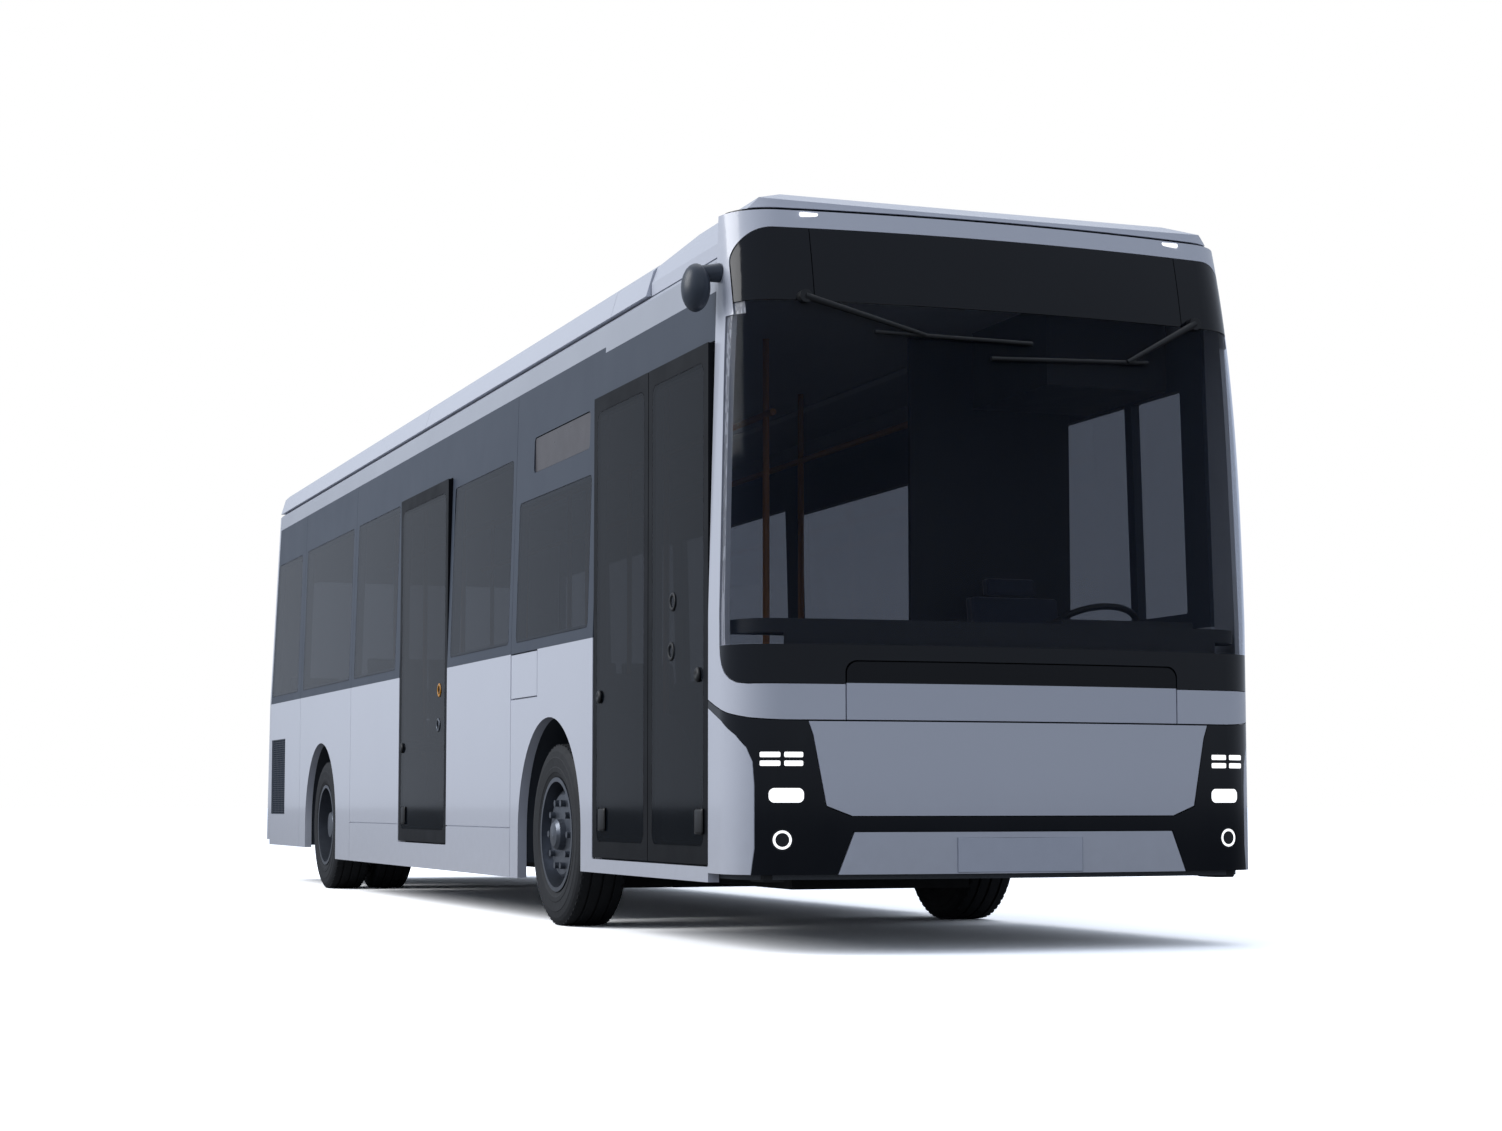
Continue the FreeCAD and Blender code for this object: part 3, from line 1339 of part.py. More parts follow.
def main():
    os.makedirs("parts", exist_ok=True)
    write("windscreen", make_windscreen())
    write("front_black_panels", make_front_black_panels())
    write("front_mask", make_front_mask())
    write("front_panels", make_front_panels())
    write("lamp_trim", make_lamp_trim())
    write("lamps", make_lamps())
    write("front_bulkhead", make_front_bulkhead())
    write("front_hatch", make_front_hatch())
    write("roof_front_cowl", make_roof_front_cowl())
    write("side_panels", make_side_panels())
    write("window_bands", make_window_bands())
    write("window_panes", make_window_panes())
    write("rear_wall", make_rear_wall())
    write("rear_door", make_rear_door())
    write("roof_panel", make_roof_panel())
    write("roof_fairings", make_roof_fairings())
    write("roof_equipment", make_roof_equipment())
    write("camera_arms", make_camera_arms())
    write("wipers", make_wipers())
    names = ("front_door_fore", "front_door_aft", "mid_door")
    for name, (frame, sheet) in zip(names, door_leaves()):
        write(name + "_frame", frame)
        write(name + "_pane", sheet)
    write("charging_flap", make_charging_flap())
    write("floor", make_floor())
    write("wheel_housings", make_wheel_housings())
    write("chassis_frame", make_chassis_frame())
    write("front_axle", make_front_axle())
    write("rear_axle", make_rear_axle())
    for side, sign in (("right", -1.0), ("left", 1.0)):
        write("knuckle_" + side, make_knuckle(sign))
        write("front_rim_" + side, make_front_rim(sign))
        write("front_tyre_" + side, tyre(front_axle_x, wheel_outer_y, sign))
        write("rear_rim_" + side, make_rear_rim(sign))
        write("rear_tyres_" + side, make_rear_tyres(sign))
    write("dashboard", make_dashboard())
    write("steering_wheel", make_steering_wheel())
    write("driver_seat", make_driver_seat())
    partition, boxes = make_driver_partition()
    write("driver_partition", group(partition, boxes))
    write("passenger_seats", make_passenger_seats())
    write("handrails", make_handrails())


main()
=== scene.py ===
"""Finish, lighting and small parts of a low-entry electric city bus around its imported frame."""
import logging
import math
from dataclasses import dataclass
from enum import Enum

import bmesh
import bpy
from mathutils import Matrix, Vector


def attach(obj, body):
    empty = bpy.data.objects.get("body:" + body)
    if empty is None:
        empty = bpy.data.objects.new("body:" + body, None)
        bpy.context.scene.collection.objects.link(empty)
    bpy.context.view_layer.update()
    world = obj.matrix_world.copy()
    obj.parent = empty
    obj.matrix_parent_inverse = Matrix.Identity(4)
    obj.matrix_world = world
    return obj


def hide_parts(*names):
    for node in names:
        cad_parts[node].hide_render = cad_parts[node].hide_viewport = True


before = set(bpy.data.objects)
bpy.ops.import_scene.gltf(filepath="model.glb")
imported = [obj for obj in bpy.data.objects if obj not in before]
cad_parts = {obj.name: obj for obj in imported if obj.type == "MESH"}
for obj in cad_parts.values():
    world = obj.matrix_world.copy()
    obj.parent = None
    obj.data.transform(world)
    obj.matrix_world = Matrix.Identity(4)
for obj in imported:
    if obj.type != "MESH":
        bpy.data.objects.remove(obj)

log = logging.getLogger("bus")
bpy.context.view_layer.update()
MM = 0.001


class Body(Enum):
    """Rigid bodies that the added pieces ride on."""

    BUS = "body"
    HATCH = "front_hatch"
    LID = "rear_door"
    FORE_LEAF = "front_door_fore"
    AFT_LEAF = "front_door_aft"
    MID_LEAF = "mid_door"
    STEERING = "steering_wheel"
    FRONT_LEFT = "front_wheel_left"
    FRONT_RIGHT = "front_wheel_right"
    REAR_LEFT = "rear_wheel_left"
    REAR_RIGHT = "rear_wheel_right"


# ------------------------------------------------------------------ colours and nodes
def linear(hex_code: str) -> tuple[float, float, float, float]:
    """Turn an sRGB hex colour into linear RGBA.

    Args:
        hex_code: six hex digits.
    Returns:
        Linear red, green, blue and an alpha of 1.
    """
    values = [int(hex_code[i:i + 2], 16) / 255.0 for i in (0, 2, 4)]
    bent = [v / 12.92 if v <= 0.04045 else ((v + 0.055) / 1.055) ** 2.4 for v in values]
    return (bent[0], bent[1], bent[2], 1.0)


def add_node(tree: bpy.types.NodeTree, kind: str, settings: dict | None = None,
             inputs: dict | None = None) -> bpy.types.Node:
    """Add a shader node with its settings, socket values and links.

    Args:
        tree: node tree that receives the node.
        kind: Blender's type name of the node.
        settings: properties of the node by name.
        inputs: socket values, or output sockets to link, by input name or number.
    Returns:
        The new node.
    """
    node = tree.nodes.new(kind)
    for name, value in (settings or {}).items():
        setattr(node, name, value)
    for name, value in (inputs or {}).items():
        socket = node.inputs[name]
        if isinstance(value, bpy.types.NodeSocket):
            tree.links.new(value, socket)
        else:
            socket.default_value = value
    return node


@dataclass(frozen=True)
class Finish:
    """A surface finish: two close colours in soft patches, uneven gloss and fine relief."""

    name: str
    colour: str
    shade: str
    roughness: float = 0.5
    gloss_spread: float = 0.08
    patch_mm: float = 400.0
    grain_mm: float = 4.0
    relief_mm: float = 0.05
    metallic: float = 0.0
    coat: float = 0.0
    ior: float = 1.5
    alpha: float = 1.0
    sheen: float = 0.0

    def place(self, tree: bpy.types.NodeTree) -> bpy.types.NodeSocket:
        """Return the Object coordinates that every pattern reads."""
        return add_node(tree, "ShaderNodeTexCoord").outputs["Object"]

    def noise(self, tree: bpy.types.NodeTree, place: bpy.types.NodeSocket, size_mm: float,
              detail: float = 3.0) -> bpy.types.NodeSocket:
        """Return noise whose patches are about size_mm across.

        Args:
            tree: node tree of the material.
            place: coordinates in metres.
            size_mm: size of one patch.
            detail: number of finer octaves.
        Returns:
            The noise's factor.
        """
        scale = 1.0 / (size_mm * MM)
        node = add_node(tree, "ShaderNodeTexNoise", None,
                        {"Vector": place, "Scale": scale, "Detail": detail})
        return node.outputs["Fac"]

    def base_colour(self, tree: bpy.types.NodeTree,
                    place: bpy.types.NodeSocket) -> bpy.types.NodeSocket:
        """Return the colour: the two shades mixed in wide soft patches."""
        mix = add_node(tree, "ShaderNodeMix", {"data_type": "RGBA"},
                       {0: self.noise(tree, place, self.patch_mm)})
        mix.inputs[6].default_value = linear(self.colour)
        mix.inputs[7].default_value = linear(self.shade)
        return mix.outputs[2]

    def relief(self, tree: bpy.types.NodeTree,
               place: bpy.types.NodeSocket) -> bpy.types.NodeSocket:
        """Return the height pattern that the bump reads."""
        return self.noise(tree, place, self.grain_mm)

    def extras(self, tree: bpy.types.NodeTree, place: bpy.types.NodeSocket,
               shader: bpy.types.Node) -> None:
        """Add what only this finish has; the plain one adds nothing."""

    def material(self) -> bpy.types.Material:
        """Build the material.

        Returns:
            The finished node material.
        """
        made = bpy.data.materials.get(self.name)
        if made:
            return made
        made = bpy.data.materials.new(self.name)
        made.use_nodes = True
        tree = made.node_tree
        tree.nodes.clear()
        place = self.place(tree)
        rough = add_node(tree, "ShaderNodeMapRange", None, {
            "Value": self.noise(tree, place, self.patch_mm * 0.4),
            "To Min": max(0.02, self.roughness - self.gloss_spread),
            "To Max": min(1.0, self.roughness + self.gloss_spread)})
        bump = add_node(tree, "ShaderNodeBump", None, {
            "Height": self.relief(tree, place), "Distance": self.relief_mm * MM,
            "Strength": 0.6})
        shader = add_node(tree, "ShaderNodeBsdfPrincipled", None, {
            "Base Color": self.base_colour(tree, place),
            "Roughness": rough.outputs["Result"], "Normal": bump.outputs["Normal"],
            "Metallic": self.metallic, "IOR": self.ior, "Alpha": self.alpha,
            "Coat Weight": self.coat, "Coat Roughness": 0.06,
            "Sheen Weight": self.sheen})
        self.extras(tree, place, shader)
        add_node(tree, "ShaderNodeOutputMaterial", None, {"Surface": shader.outputs["BSDF"]})
        made.diffuse_color = linear(self.colour)
        return made


@dataclass(frozen=True)
class RoadFilmPaint(Finish):
    """Two-pack polyurethane body paint: a clear gloss coat with faint orange peel, and a
    thin film of road dust that dulls and warms the skirts towards the ground."""

    dust: str = "8b8a8a"
    dust_top: float = 0.75

    def base_colour(self, tree: bpy.types.NodeTree,
                    place: bpy.types.NodeSocket) -> bpy.types.NodeSocket:
        """Return the paint with dust that fades out upwards."""
        paint = super().base_colour(tree, place)
        height = add_node(tree, "ShaderNodeSeparateXYZ", None, {0: place}).outputs["Z"]
        fade = add_node(tree, "ShaderNodeMapRange", None, {
            "Value": height, "From Min": 0.2, "From Max": self.dust_top,
            "To Min": 0.22, "To Max": 0.0})
        speckle = add_node(tree, "ShaderNodeMath", {"operation": "MULTIPLY"}, {
            0: fade.outputs["Result"], 1: self.noise(tree, place, 60.0, 6.0)})
        mix = add_node(tree, "ShaderNodeMix", {"data_type": "RGBA"},
                       {0: speckle.outputs[0], 6: paint})
        mix.inputs[7].default_value = linear(self.dust)
        return mix.outputs[2]


@dataclass(frozen=True)
class TwoTonePaint(Finish):
    """The service hatch: gloss black over body paint, with a level line between them."""

    upper: str = "090c13"
    line_z: float = 1.128

    def base_colour(self, tree: bpy.types.NodeTree,
                    place: bpy.types.NodeSocket) -> bpy.types.NodeSocket:
        """Return paint under the line and black over it."""
        paint = super().base_colour(tree, place)
        height = add_node(tree, "ShaderNodeSeparateXYZ", None, {0: place}).outputs["Z"]
        over = add_node(tree, "ShaderNodeMath", {"operation": "GREATER_THAN"},
                        {0: height, 1: self.line_z})
        mix = add_node(tree, "ShaderNodeMix", {"data_type": "RGBA"},
                       {0: over.outputs[0], 6: paint})
        mix.inputs[7].default_value = linear(self.upper)
        return mix.outputs[2]


@dataclass(frozen=True)
class TreadRubber(Finish):
    """Carbon-black tyre rubber: matt, with fine sipes across the tread's ribs."""

    sipe_mm: float = 14.0

    def relief(self, tree: bpy.types.NodeTree,
               place: bpy.types.NodeSocket) -> bpy.types.NodeSocket:
        """Return sipes in a wave that runs round the wheel and across it."""
        wave = add_node(tree, "ShaderNodeTexWave", {"bands_direction": "DIAGONAL"}, {
            "Vector": place, "Scale": 1.0 / (self.sipe_mm * MM) / 6.3, "Distortion": 1.5})
        return wave.outputs["Fac"]


@dataclass(frozen=True)
class WovenSeat(Finish):
    """Flat-woven wool moquette: a small raised weave with a soft sheen."""

    thread_mm: float = 3.0

    def relief(self, tree: bpy.types.NodeTree,
               place: bpy.types.NodeSocket) -> bpy.types.NodeSocket:
        """Return crossed threads."""
        scale = 1.0 / (self.thread_mm * MM) / 6.3
        warp = add_node(tree, "ShaderNodeTexWave", {"bands_direction": "Y"},
                        {"Vector": place, "Scale": scale})
        weft = add_node(tree, "ShaderNodeTexWave", {"bands_direction": "Z"},
                        {"Vector": place, "Scale": scale})
        both = add_node(tree, "ShaderNodeMath", {"operation": "MAXIMUM"},
                        {0: warp.outputs["Fac"], 1: weft.outputs["Fac"]})
        return both.outputs[0]


@dataclass(frozen=True)
class LampCover(Finish):
    """Polycarbonate lamps: lit white bars and fog ring at the nose, red at the tail."""

    tail: str = "a3121a"
    dark: str = "14171d"
    glow: float = 1.1
    fog: tuple[float, float] = (1.055, 0.476)
    fog_top: float = 0.56
    ring: tuple[float, float] = (0.029, 0.039)

    def step(self, tree: bpy.types.NodeTree, kind: str, first: object,
             second: object) -> bpy.types.NodeSocket:
        """Return a maths node's result.

        Args:
            tree: node tree of the material.
            kind: operation name.
            first: first value or socket.
            second: second value or socket.
        Returns:
            The node's result.
        """
        return add_node(tree, "ShaderNodeMath", {"operation": kind},
                        {0: first, 1: second}).outputs[0]

    def lit(self, tree: bpy.types.NodeTree,
            place: bpy.types.NodeSocket) -> bpy.types.NodeSocket:
        """Return 1 on the lit parts at the nose and 0 elsewhere."""
        parts = add_node(tree, "ShaderNodeSeparateXYZ", None, {0: place}).outputs
        across = self.step(tree, "SUBTRACT", self.step(tree, "ABSOLUTE", parts["Y"], 0.0),
                           self.fog[0])
        up = self.step(tree, "SUBTRACT", parts["Z"], self.fog[1])
        far = self.step(tree, "SQRT", self.step(
            tree, "ADD", self.step(tree, "MULTIPLY", across, across),
            self.step(tree, "MULTIPLY", up, up)), 0.0)
        ring = self.step(tree, "MULTIPLY", self.step(tree, "GREATER_THAN", far, self.ring[0]),
                         self.step(tree, "LESS_THAN", far, self.ring[1]))
        bars = self.step(tree, "GREATER_THAN", parts["Z"], self.fog_top)
        ahead = self.step(tree, "GREATER_THAN", parts["X"], 0.0)
        return self.step(tree, "MULTIPLY", ahead, self.step(tree, "MAXIMUM", ring, bars))

    def base_colour(self, tree: bpy.types.NodeTree,
                    place: bpy.types.NodeSocket) -> bpy.types.NodeSocket:
        """Return white where lit, dark in the fog lamp and red behind."""
        ahead = add_node(tree, "ShaderNodeSeparateXYZ", None, {0: place}).outputs["X"]
        behind = self.step(tree, "LESS_THAN", ahead, 0.0)
        unlit = add_node(tree, "ShaderNodeMix", {"data_type": "RGBA"}, {0: behind})
        unlit.inputs[6].default_value = linear(self.dark)
        unlit.inputs[7].default_value = linear(self.tail)
        mix = add_node(tree, "ShaderNodeMix", {"data_type": "RGBA"}, {
            0: self.lit(tree, place), 6: unlit.outputs[2],
            7: super().base_colour(tree, place)})
        return mix.outputs[2]

    def extras(self, tree: bpy.types.NodeTree, place: bpy.types.NodeSocket,
               shader: bpy.types.Node) -> None:
        """Light the lit parts only."""
        power = self.step(tree, "MULTIPLY", self.lit(tree, place), self.glow)
        shader.inputs["Emission Color"].default_value = (1.0, 1.0, 1.0, 1.0)
        tree.links.new(power, shader.inputs["Emission Strength"])


# Sprayed two-pack paint: a pale cool grey with a clear gloss and dulled skirts.
PAINT = RoadFilmPaint("polyurethane_body_paint", "cbcfdb", "c5c9d6", roughness=0.3,
                      gloss_spread=0.05, patch_mm=1500.0, grain_mm=9.0, relief_mm=0.03, coat=0.5)
# Moulded gelcoat: a softer gloss than the paint, with a faint pebbled skin.
ROOF_PAINT = Finish("gelcoat_roof_panel", "b4b9c4", "a5aab5", roughness=0.45, patch_mm=700.0,
                    grain_mm=5.0, relief_mm=0.05)
# The same paint on the hatch, gloss black over its level line.
HATCH_PAINT = TwoTonePaint("painted_service_hatch", "cbcfdb", "c5c9d6", roughness=0.3,
                           gloss_spread=0.05, patch_mm=1500.0, grain_mm=9.0, relief_mm=0.03,
                           ior=1.35)
# Ceramic print behind glass: slate grey with a soft, even sheen.
BAND = Finish("ceramic_printed_glass_band", "434b58", "3e4653", roughness=0.45,
              gloss_spread=0.05, patch_mm=900.0, grain_mm=14.0, relief_mm=0.02, ior=1.35)
# Body-tinted toughened glass: dark grey, and the seats show through faintly.
SIDE_GLASS = Finish("grey_tinted_side_glass", "1c222b", "181e26", roughness=0.08,
                    gloss_spread=0.02, patch_mm=800.0, grain_mm=30.0, relief_mm=0.01,
                    ior=1.22, alpha=0.62)
# Laminated glass with a light tint: the cab shows through it.
SCREEN_GLASS = Finish("laminated_windscreen_glass", "182030", "141b29", roughness=0.05,
                      gloss_spread=0.01, patch_mm=900.0, grain_mm=40.0, relief_mm=0.01,
                      ior=1.25, alpha=0.24)
# Deeper tint than the side windows: almost black, with a hint of the inside.
DOOR_GLASS = Finish("dark_door_glass", "0f141b", "0c1117", roughness=0.06, gloss_spread=0.02,
                    patch_mm=800.0, grain_mm=30.0, relief_mm=0.01, ior=1.18, alpha=0.7)
# Gloss acrylic: deep black that catches the light along its edges.
GLOSS_BLACK = Finish("gloss_black_acrylic", "0b1019", "080c14", roughness=0.12,
                     gloss_spread=0.04, patch_mm=600.0, grain_mm=12.0, relief_mm=0.02, ior=1.3,
                     coat=0.15)
# Anodised extrusion: flat black with a fine even grain.
FRAME_BLACK = Finish("anodised_black_door_frame", "0b0e13", "090b10", roughness=0.45,
                     patch_mm=500.0, grain_mm=1.6, relief_mm=0.03, ior=1.2)
# Satin moulding: blue-grey with a broad soft highlight.
CAMERA_SHELL = Finish("satin_camera_housing", "39414d", "323a46", roughness=0.4, patch_mm=90.0,
                      grain_mm=1.8, relief_mm=0.06)
# Moulded ABS: near black, with the fine texture of the mould.
MOULDED = Finish("moulded_abs", "111419", "0d1015", roughness=0.5, patch_mm=200.0,
                 grain_mm=1.8, relief_mm=0.12)
# Sprayed wax over steel: an uneven near-black with no shine.
CHASSIS = Finish("chassis_wax_black", "191b1f", "24262a", roughness=0.62, patch_mm=120.0,
                 grain_mm=5.0, relief_mm=0.25)
# Moulded liner: dark grey and matt, with a coarse skin.
ARCH_GREY = Finish("moulded_arch_liner", "3a4049", "31363f", roughness=0.6, patch_mm=200.0,
                   grain_mm=3.0, relief_mm=0.2)
# Carbon-black rubber: matt, and greyer where it is scuffed.
TYRE = TreadRubber("tyre_rubber", "17191d", "22252a", roughness=0.72, patch_mm=90.0,
                   grain_mm=3.0, relief_mm=0.5)
# Forged aluminium: a dull metal with a brushed unevenness.
WHEEL = Finish("forged_aluminium_wheel", "6d727b", "5d626b", roughness=0.34, gloss_spread=0.1,
               patch_mm=60.0, grain_mm=2.0, relief_mm=0.05, metallic=0.75)
# Polycarbonate cover: even white when lit, red at the tail.
LAMP = LampCover("frosted_lamp_cover", "f4f6fa", "eceff5", roughness=0.2, patch_mm=30.0,
                 grain_mm=3.0, relief_mm=0.1)
# Grained lining: dark grey with a leather-like skin.
INTERIOR = Finish("grained_interior_moulding", "2a2e35", "23272d", roughness=0.6,
                  patch_mm=300.0, grain_mm=2.2, relief_mm=0.15)
# Woven wool: blue-grey, in two threads, with a soft sheen.
MOQUETTE = WovenSeat("woven_seat_moquette", "2c3242", "363d50", roughness=0.9, patch_mm=22.0,
                     relief_mm=0.5, sheen=0.4)
# Powder coat: warm orange-brown with a fine orange peel.
HANDRAIL = Finish("powder_coated_handrail", "b9762a", "a86a24", roughness=0.4, patch_mm=80.0,
                  grain_mm=1.2, relief_mm=0.05)
# Safety vinyl: grey with pale chips, and no shine.
FLOORING = Finish("safety_vinyl_flooring", "42464c", "5a5e64", roughness=0.7, patch_mm=6.0,
                  grain_mm=2.0, relief_mm=0.15)
# Chromed reflector: bright metal that mirrors what is ahead.
REFLECTOR = Finish("chromed_lamp_reflector", "c9ced6", "b6bcc6", roughness=0.15,
                   patch_mm=30.0, grain_mm=8.0, relief_mm=0.02, metallic=1.0)
# Blank aluminium plate: pale and lightly satin.
PLATE = Finish("blank_plate_aluminium", "c3c8d6", "bcc1cf", roughness=0.4, patch_mm=80.0,
               grain_mm=2.0, relief_mm=0.03)
# Display glass that is off: black with a clear gloss.
SCREEN_OFF = Finish("display_glass", "0b0d12", "10131a", roughness=0.1, patch_mm=100.0,
                    grain_mm=10.0, relief_mm=0.01, coat=0.5)
# Display glass in the band: a warmer, browner grey than the band round it.
DISPLAY = Finish("route_display_glass", "4d4b4e", "565356", roughness=0.3, patch_mm=260.0,
                 grain_mm=6.0, relief_mm=0.01, ior=1.3)
# Amber polycarbonate: a saturated orange with a moulded gloss.
AMBER = Finish("amber_polycarbonate", "c4871c", "b97d18", roughness=0.2, patch_mm=20.0,
               grain_mm=3.0, relief_mm=0.1)

NODE_FINISH: dict[str, Finish] = {
    "windscreen": SCREEN_GLASS, "front_black_panels": GLOSS_BLACK, "front_mask": PAINT,
    "front_panels": PAINT, "lamp_trim": GLOSS_BLACK, "lamps": LAMP, "front_bulkhead": CHASSIS,
    "front_hatch": HATCH_PAINT, "roof_front_cowl": PAINT, "side_panels": PAINT,
    "window_bands": BAND, "window_panes": SIDE_GLASS, "rear_wall": PAINT, "rear_door": PAINT,
    "roof_panel": ROOF_PAINT, "roof_fairings": PAINT, "roof_equipment": ROOF_PAINT,
    "camera_arms": CAMERA_SHELL, "wipers": MOULDED, "charging_flap": PAINT, "floor": FLOORING,
    "wheel_housings": ARCH_GREY, "chassis_frame": CHASSIS, "front_axle": CHASSIS,
    "rear_axle": CHASSIS, "dashboard": INTERIOR, "steering_wheel": MOULDED,
    "driver_seat": MOQUETTE, "driver_partition": INTERIOR, "passenger_seats": MOQUETTE,
    "handrails": HANDRAIL, "knuckle_left": CHASSIS, "knuckle_right": CHASSIS,
    "front_rim_left": WHEEL, "front_rim_right": WHEEL, "rear_rim_left": WHEEL,
    "rear_rim_right": WHEEL, "front_tyre_left": TYRE, "front_tyre_right": TYRE,
    "rear_tyres_left": TYRE, "rear_tyres_right": TYRE,
}
for _leaf in ("front_door_fore", "front_door_aft", "mid_door"):
    NODE_FINISH[_leaf + "_frame"] = FRAME_BLACK
    NODE_FINISH[_leaf + "_pane"] = DOOR_GLASS


# ------------------------------------------------------------------ mesh making
class Shape:
    """A mesh under construction, made of operator shapes placed in the bus's frame."""

    def __init__(self) -> None:
        """Start with an empty mesh."""
        self.bm = bmesh.new()

    def block(self, low: tuple[float, float, float], high: tuple[float, float, float],
              round_by: float = 0.0, segments: int = 2) -> list[bmesh.types.BMVert]:
        """Add a box with rounded edges.

        Args:
            low: lowest corner in metres.
            high: highest corner in metres.
            round_by: radius of the edges.
            segments: steps of the rounding.
        Returns:
            The vertices of the box before rounding.
        """
        size = [b - a for a, b in zip(low, high)]
        middle = [(a + b) / 2.0 for a, b in zip(low, high)]
        place = Matrix.Translation(middle) @ Matrix.Diagonal((*size, 1.0))
        made = bmesh.ops.create_cube(self.bm, size=1.0, matrix=place)["verts"]
        if round_by > 0.0:
            edges = list({e for v in made for e in v.link_edges})
            bmesh.ops.bevel(self.bm, geom=edges, offset=round_by, affect="EDGES",
                            segments=segments, profile=0.5, material=-1)
        return made

    def rod(self, start: Vector, end: Vector, radius: float, far_radius: float | None = None,
            segments: int = 20, round_by: float = 0.0) -> None:
        """Add a closed rod or cone between two points.

        Args:
            start: middle of the first end.
            end: middle of the second end.
            radius: radius at the start.
            far_radius: radius at the end, or None for the same.
            segments: sides of the rod.
            round_by: rounding of the two end edges.
        """
        run = Vector(end) - Vector(start)
        turn = run.to_track_quat("Z", "Y").to_matrix().to_4x4()
        place = Matrix.Translation((Vector(start) + Vector(end)) / 2.0) @ turn
        far = radius if far_radius is None else far_radius
        made = bmesh.ops.create_cone(self.bm, cap_ends=True, segments=segments, radius1=radius,
                                     radius2=far, depth=run.length, matrix=place)["verts"]
        if round_by > 0.0:
            rims = list({e for v in made for e in v.link_edges
                         if any(len(f.verts) > 4 for f in e.link_faces)})
            bmesh.ops.bevel(self.bm, geom=rims, offset=round_by, affect="EDGES",
                            segments=3, profile=0.5, material=-1)

    def lathe(self, profile: list[tuple[float, float]], centre: Vector, axis: Vector,
              steps: int = 48, closed: bool = True) -> None:
        """Spin a (radius, along) outline about an axis.

        Args:
            profile: outline as distances from the axis and along it.
            centre: point on the axis where along is zero.
            axis: direction of the axis.
            steps: steps of the full turn.
            closed: whether the outline's last point joins its first.
        """
        ring = bmesh.new()
        verts = [ring.verts.new((r, 0.0, a)) for r, a in profile]
        pairs = list(zip(verts, verts[1:])) + ([(verts[-1], verts[0])] if closed else [])
        edges = [ring.edges.new(pair) for pair in pairs]
        bmesh.ops.spin(ring, geom=verts + edges, cent=(0, 0, 0), axis=(0, 0, 1),
                       angle=math.tau, steps=steps, use_merge=True, use_duplicate=False)
        bmesh.ops.remove_doubles(ring, verts=ring.verts, dist=1e-6)
        bmesh.ops.recalc_face_normals(ring, faces=ring.faces)
        turn = Vector(axis).to_track_quat("Z", "Y").to_matrix().to_4x4()
        bmesh.ops.transform(ring, matrix=Matrix.Translation(centre) @ turn, verts=ring.verts)
        spare = bpy.data.meshes.new("spare")
        ring.to_mesh(spare)
        ring.free()
        self.bm.from_mesh(spare)
        bpy.data.meshes.remove(spare)

    def mirrored(self) -> None:
        """Add the same shapes on the other side of the bus."""
        geom = self.bm.verts[:] + self.bm.edges[:] + self.bm.faces[:]
        made = bmesh.ops.duplicate(self.bm, geom=geom)["geom"]
        moved = [g for g in made if isinstance(g, bmesh.types.BMVert)]
        bmesh.ops.scale(self.bm, vec=(1.0, -1.0, 1.0), verts=moved)
        faces = [g for g in made if isinstance(g, bmesh.types.BMFace)]
        bmesh.ops.reverse_faces(self.bm, faces=faces)

    def finish(self, name: str, body: Body, slot: str, finish: Finish,
               smooth: bool = False) -> bpy.types.Object:
        """Turn the shapes into an object that rides on a body.

        Args:
            name: name of the piece.
            body: body that carries it.
            slot: the record's material slot; not used.
            finish: surface finish.
            smooth: whether its faces are shaded smooth.
        Returns:
            The finished object.
        """
        mesh = bpy.data.meshes.new(name)
        self.bm.to_mesh(mesh)
        self.bm.free()
        if smooth:
            mesh.shade_smooth()
        mesh.materials.append(finish.material())
        piece = bpy.data.objects.new(name, mesh)
        bpy.context.scene.collection.objects.link(piece)
        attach(piece, body.value)
        log.info("%s: %d faces on %s", name, len(mesh.polygons), body.value)
        return piece


# ------------------------------------------------------------------ sizes shared by all
@dataclass(frozen=True)
class Outline:
    """The bus's main lines, in metres, as the construction has them."""

    nose: float = 5.775
    half_width: float = 1.25
    belt: float = 1.436
    lean: float = math.tan(math.radians(1.5))
    bow: float = 7.178
    rake: float = 0.199
    rake_top: float = 3.26
    rake_power: float = 2.9
    corner: float = 0.23
    front_axle: float = 2.84
    rear_axle: float = -3.335
    axle_z: float = 0.467
    wheel_face: float = 1.215
    tyre_width: float = 0.275
    twin_gap: float = 0.045

    def back(self, distance: float) -> float:
        """Return X this far behind the nose."""
        return self.nose - distance

    def side(self, z: float) -> float:
        """Return the half width at a height."""
        return self.half_width - max(0.0, z - self.belt) * self.lean

    def rake_at(self, z: float) -> float:
        """Return how far the nose leans back at a height."""
        share = max(0.0, (z - self.belt) / (self.rake_top - self.belt))
        return self.rake * share ** self.rake_power

    def face(self, y: float, z: float) -> float:
        """Return X of the nose's bowed face at a place."""
        return self.nose - self.rake_at(z) - self.bow + math.sqrt(self.bow ** 2 - y * y)


LINES = Outline()


class CadFinishes:
    """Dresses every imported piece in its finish."""

    def dress(self) -> None:
        """Give each node's object its material."""
        for node, finish in NODE_FINISH.items():
            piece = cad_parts[node]
            for slot in piece.material_slots:
                slot.material = finish.material()
            if not piece.material_slots:
                piece.data.materials.append(finish.material())
        log.info("dressed %d construction pieces", len(NODE_FINISH))


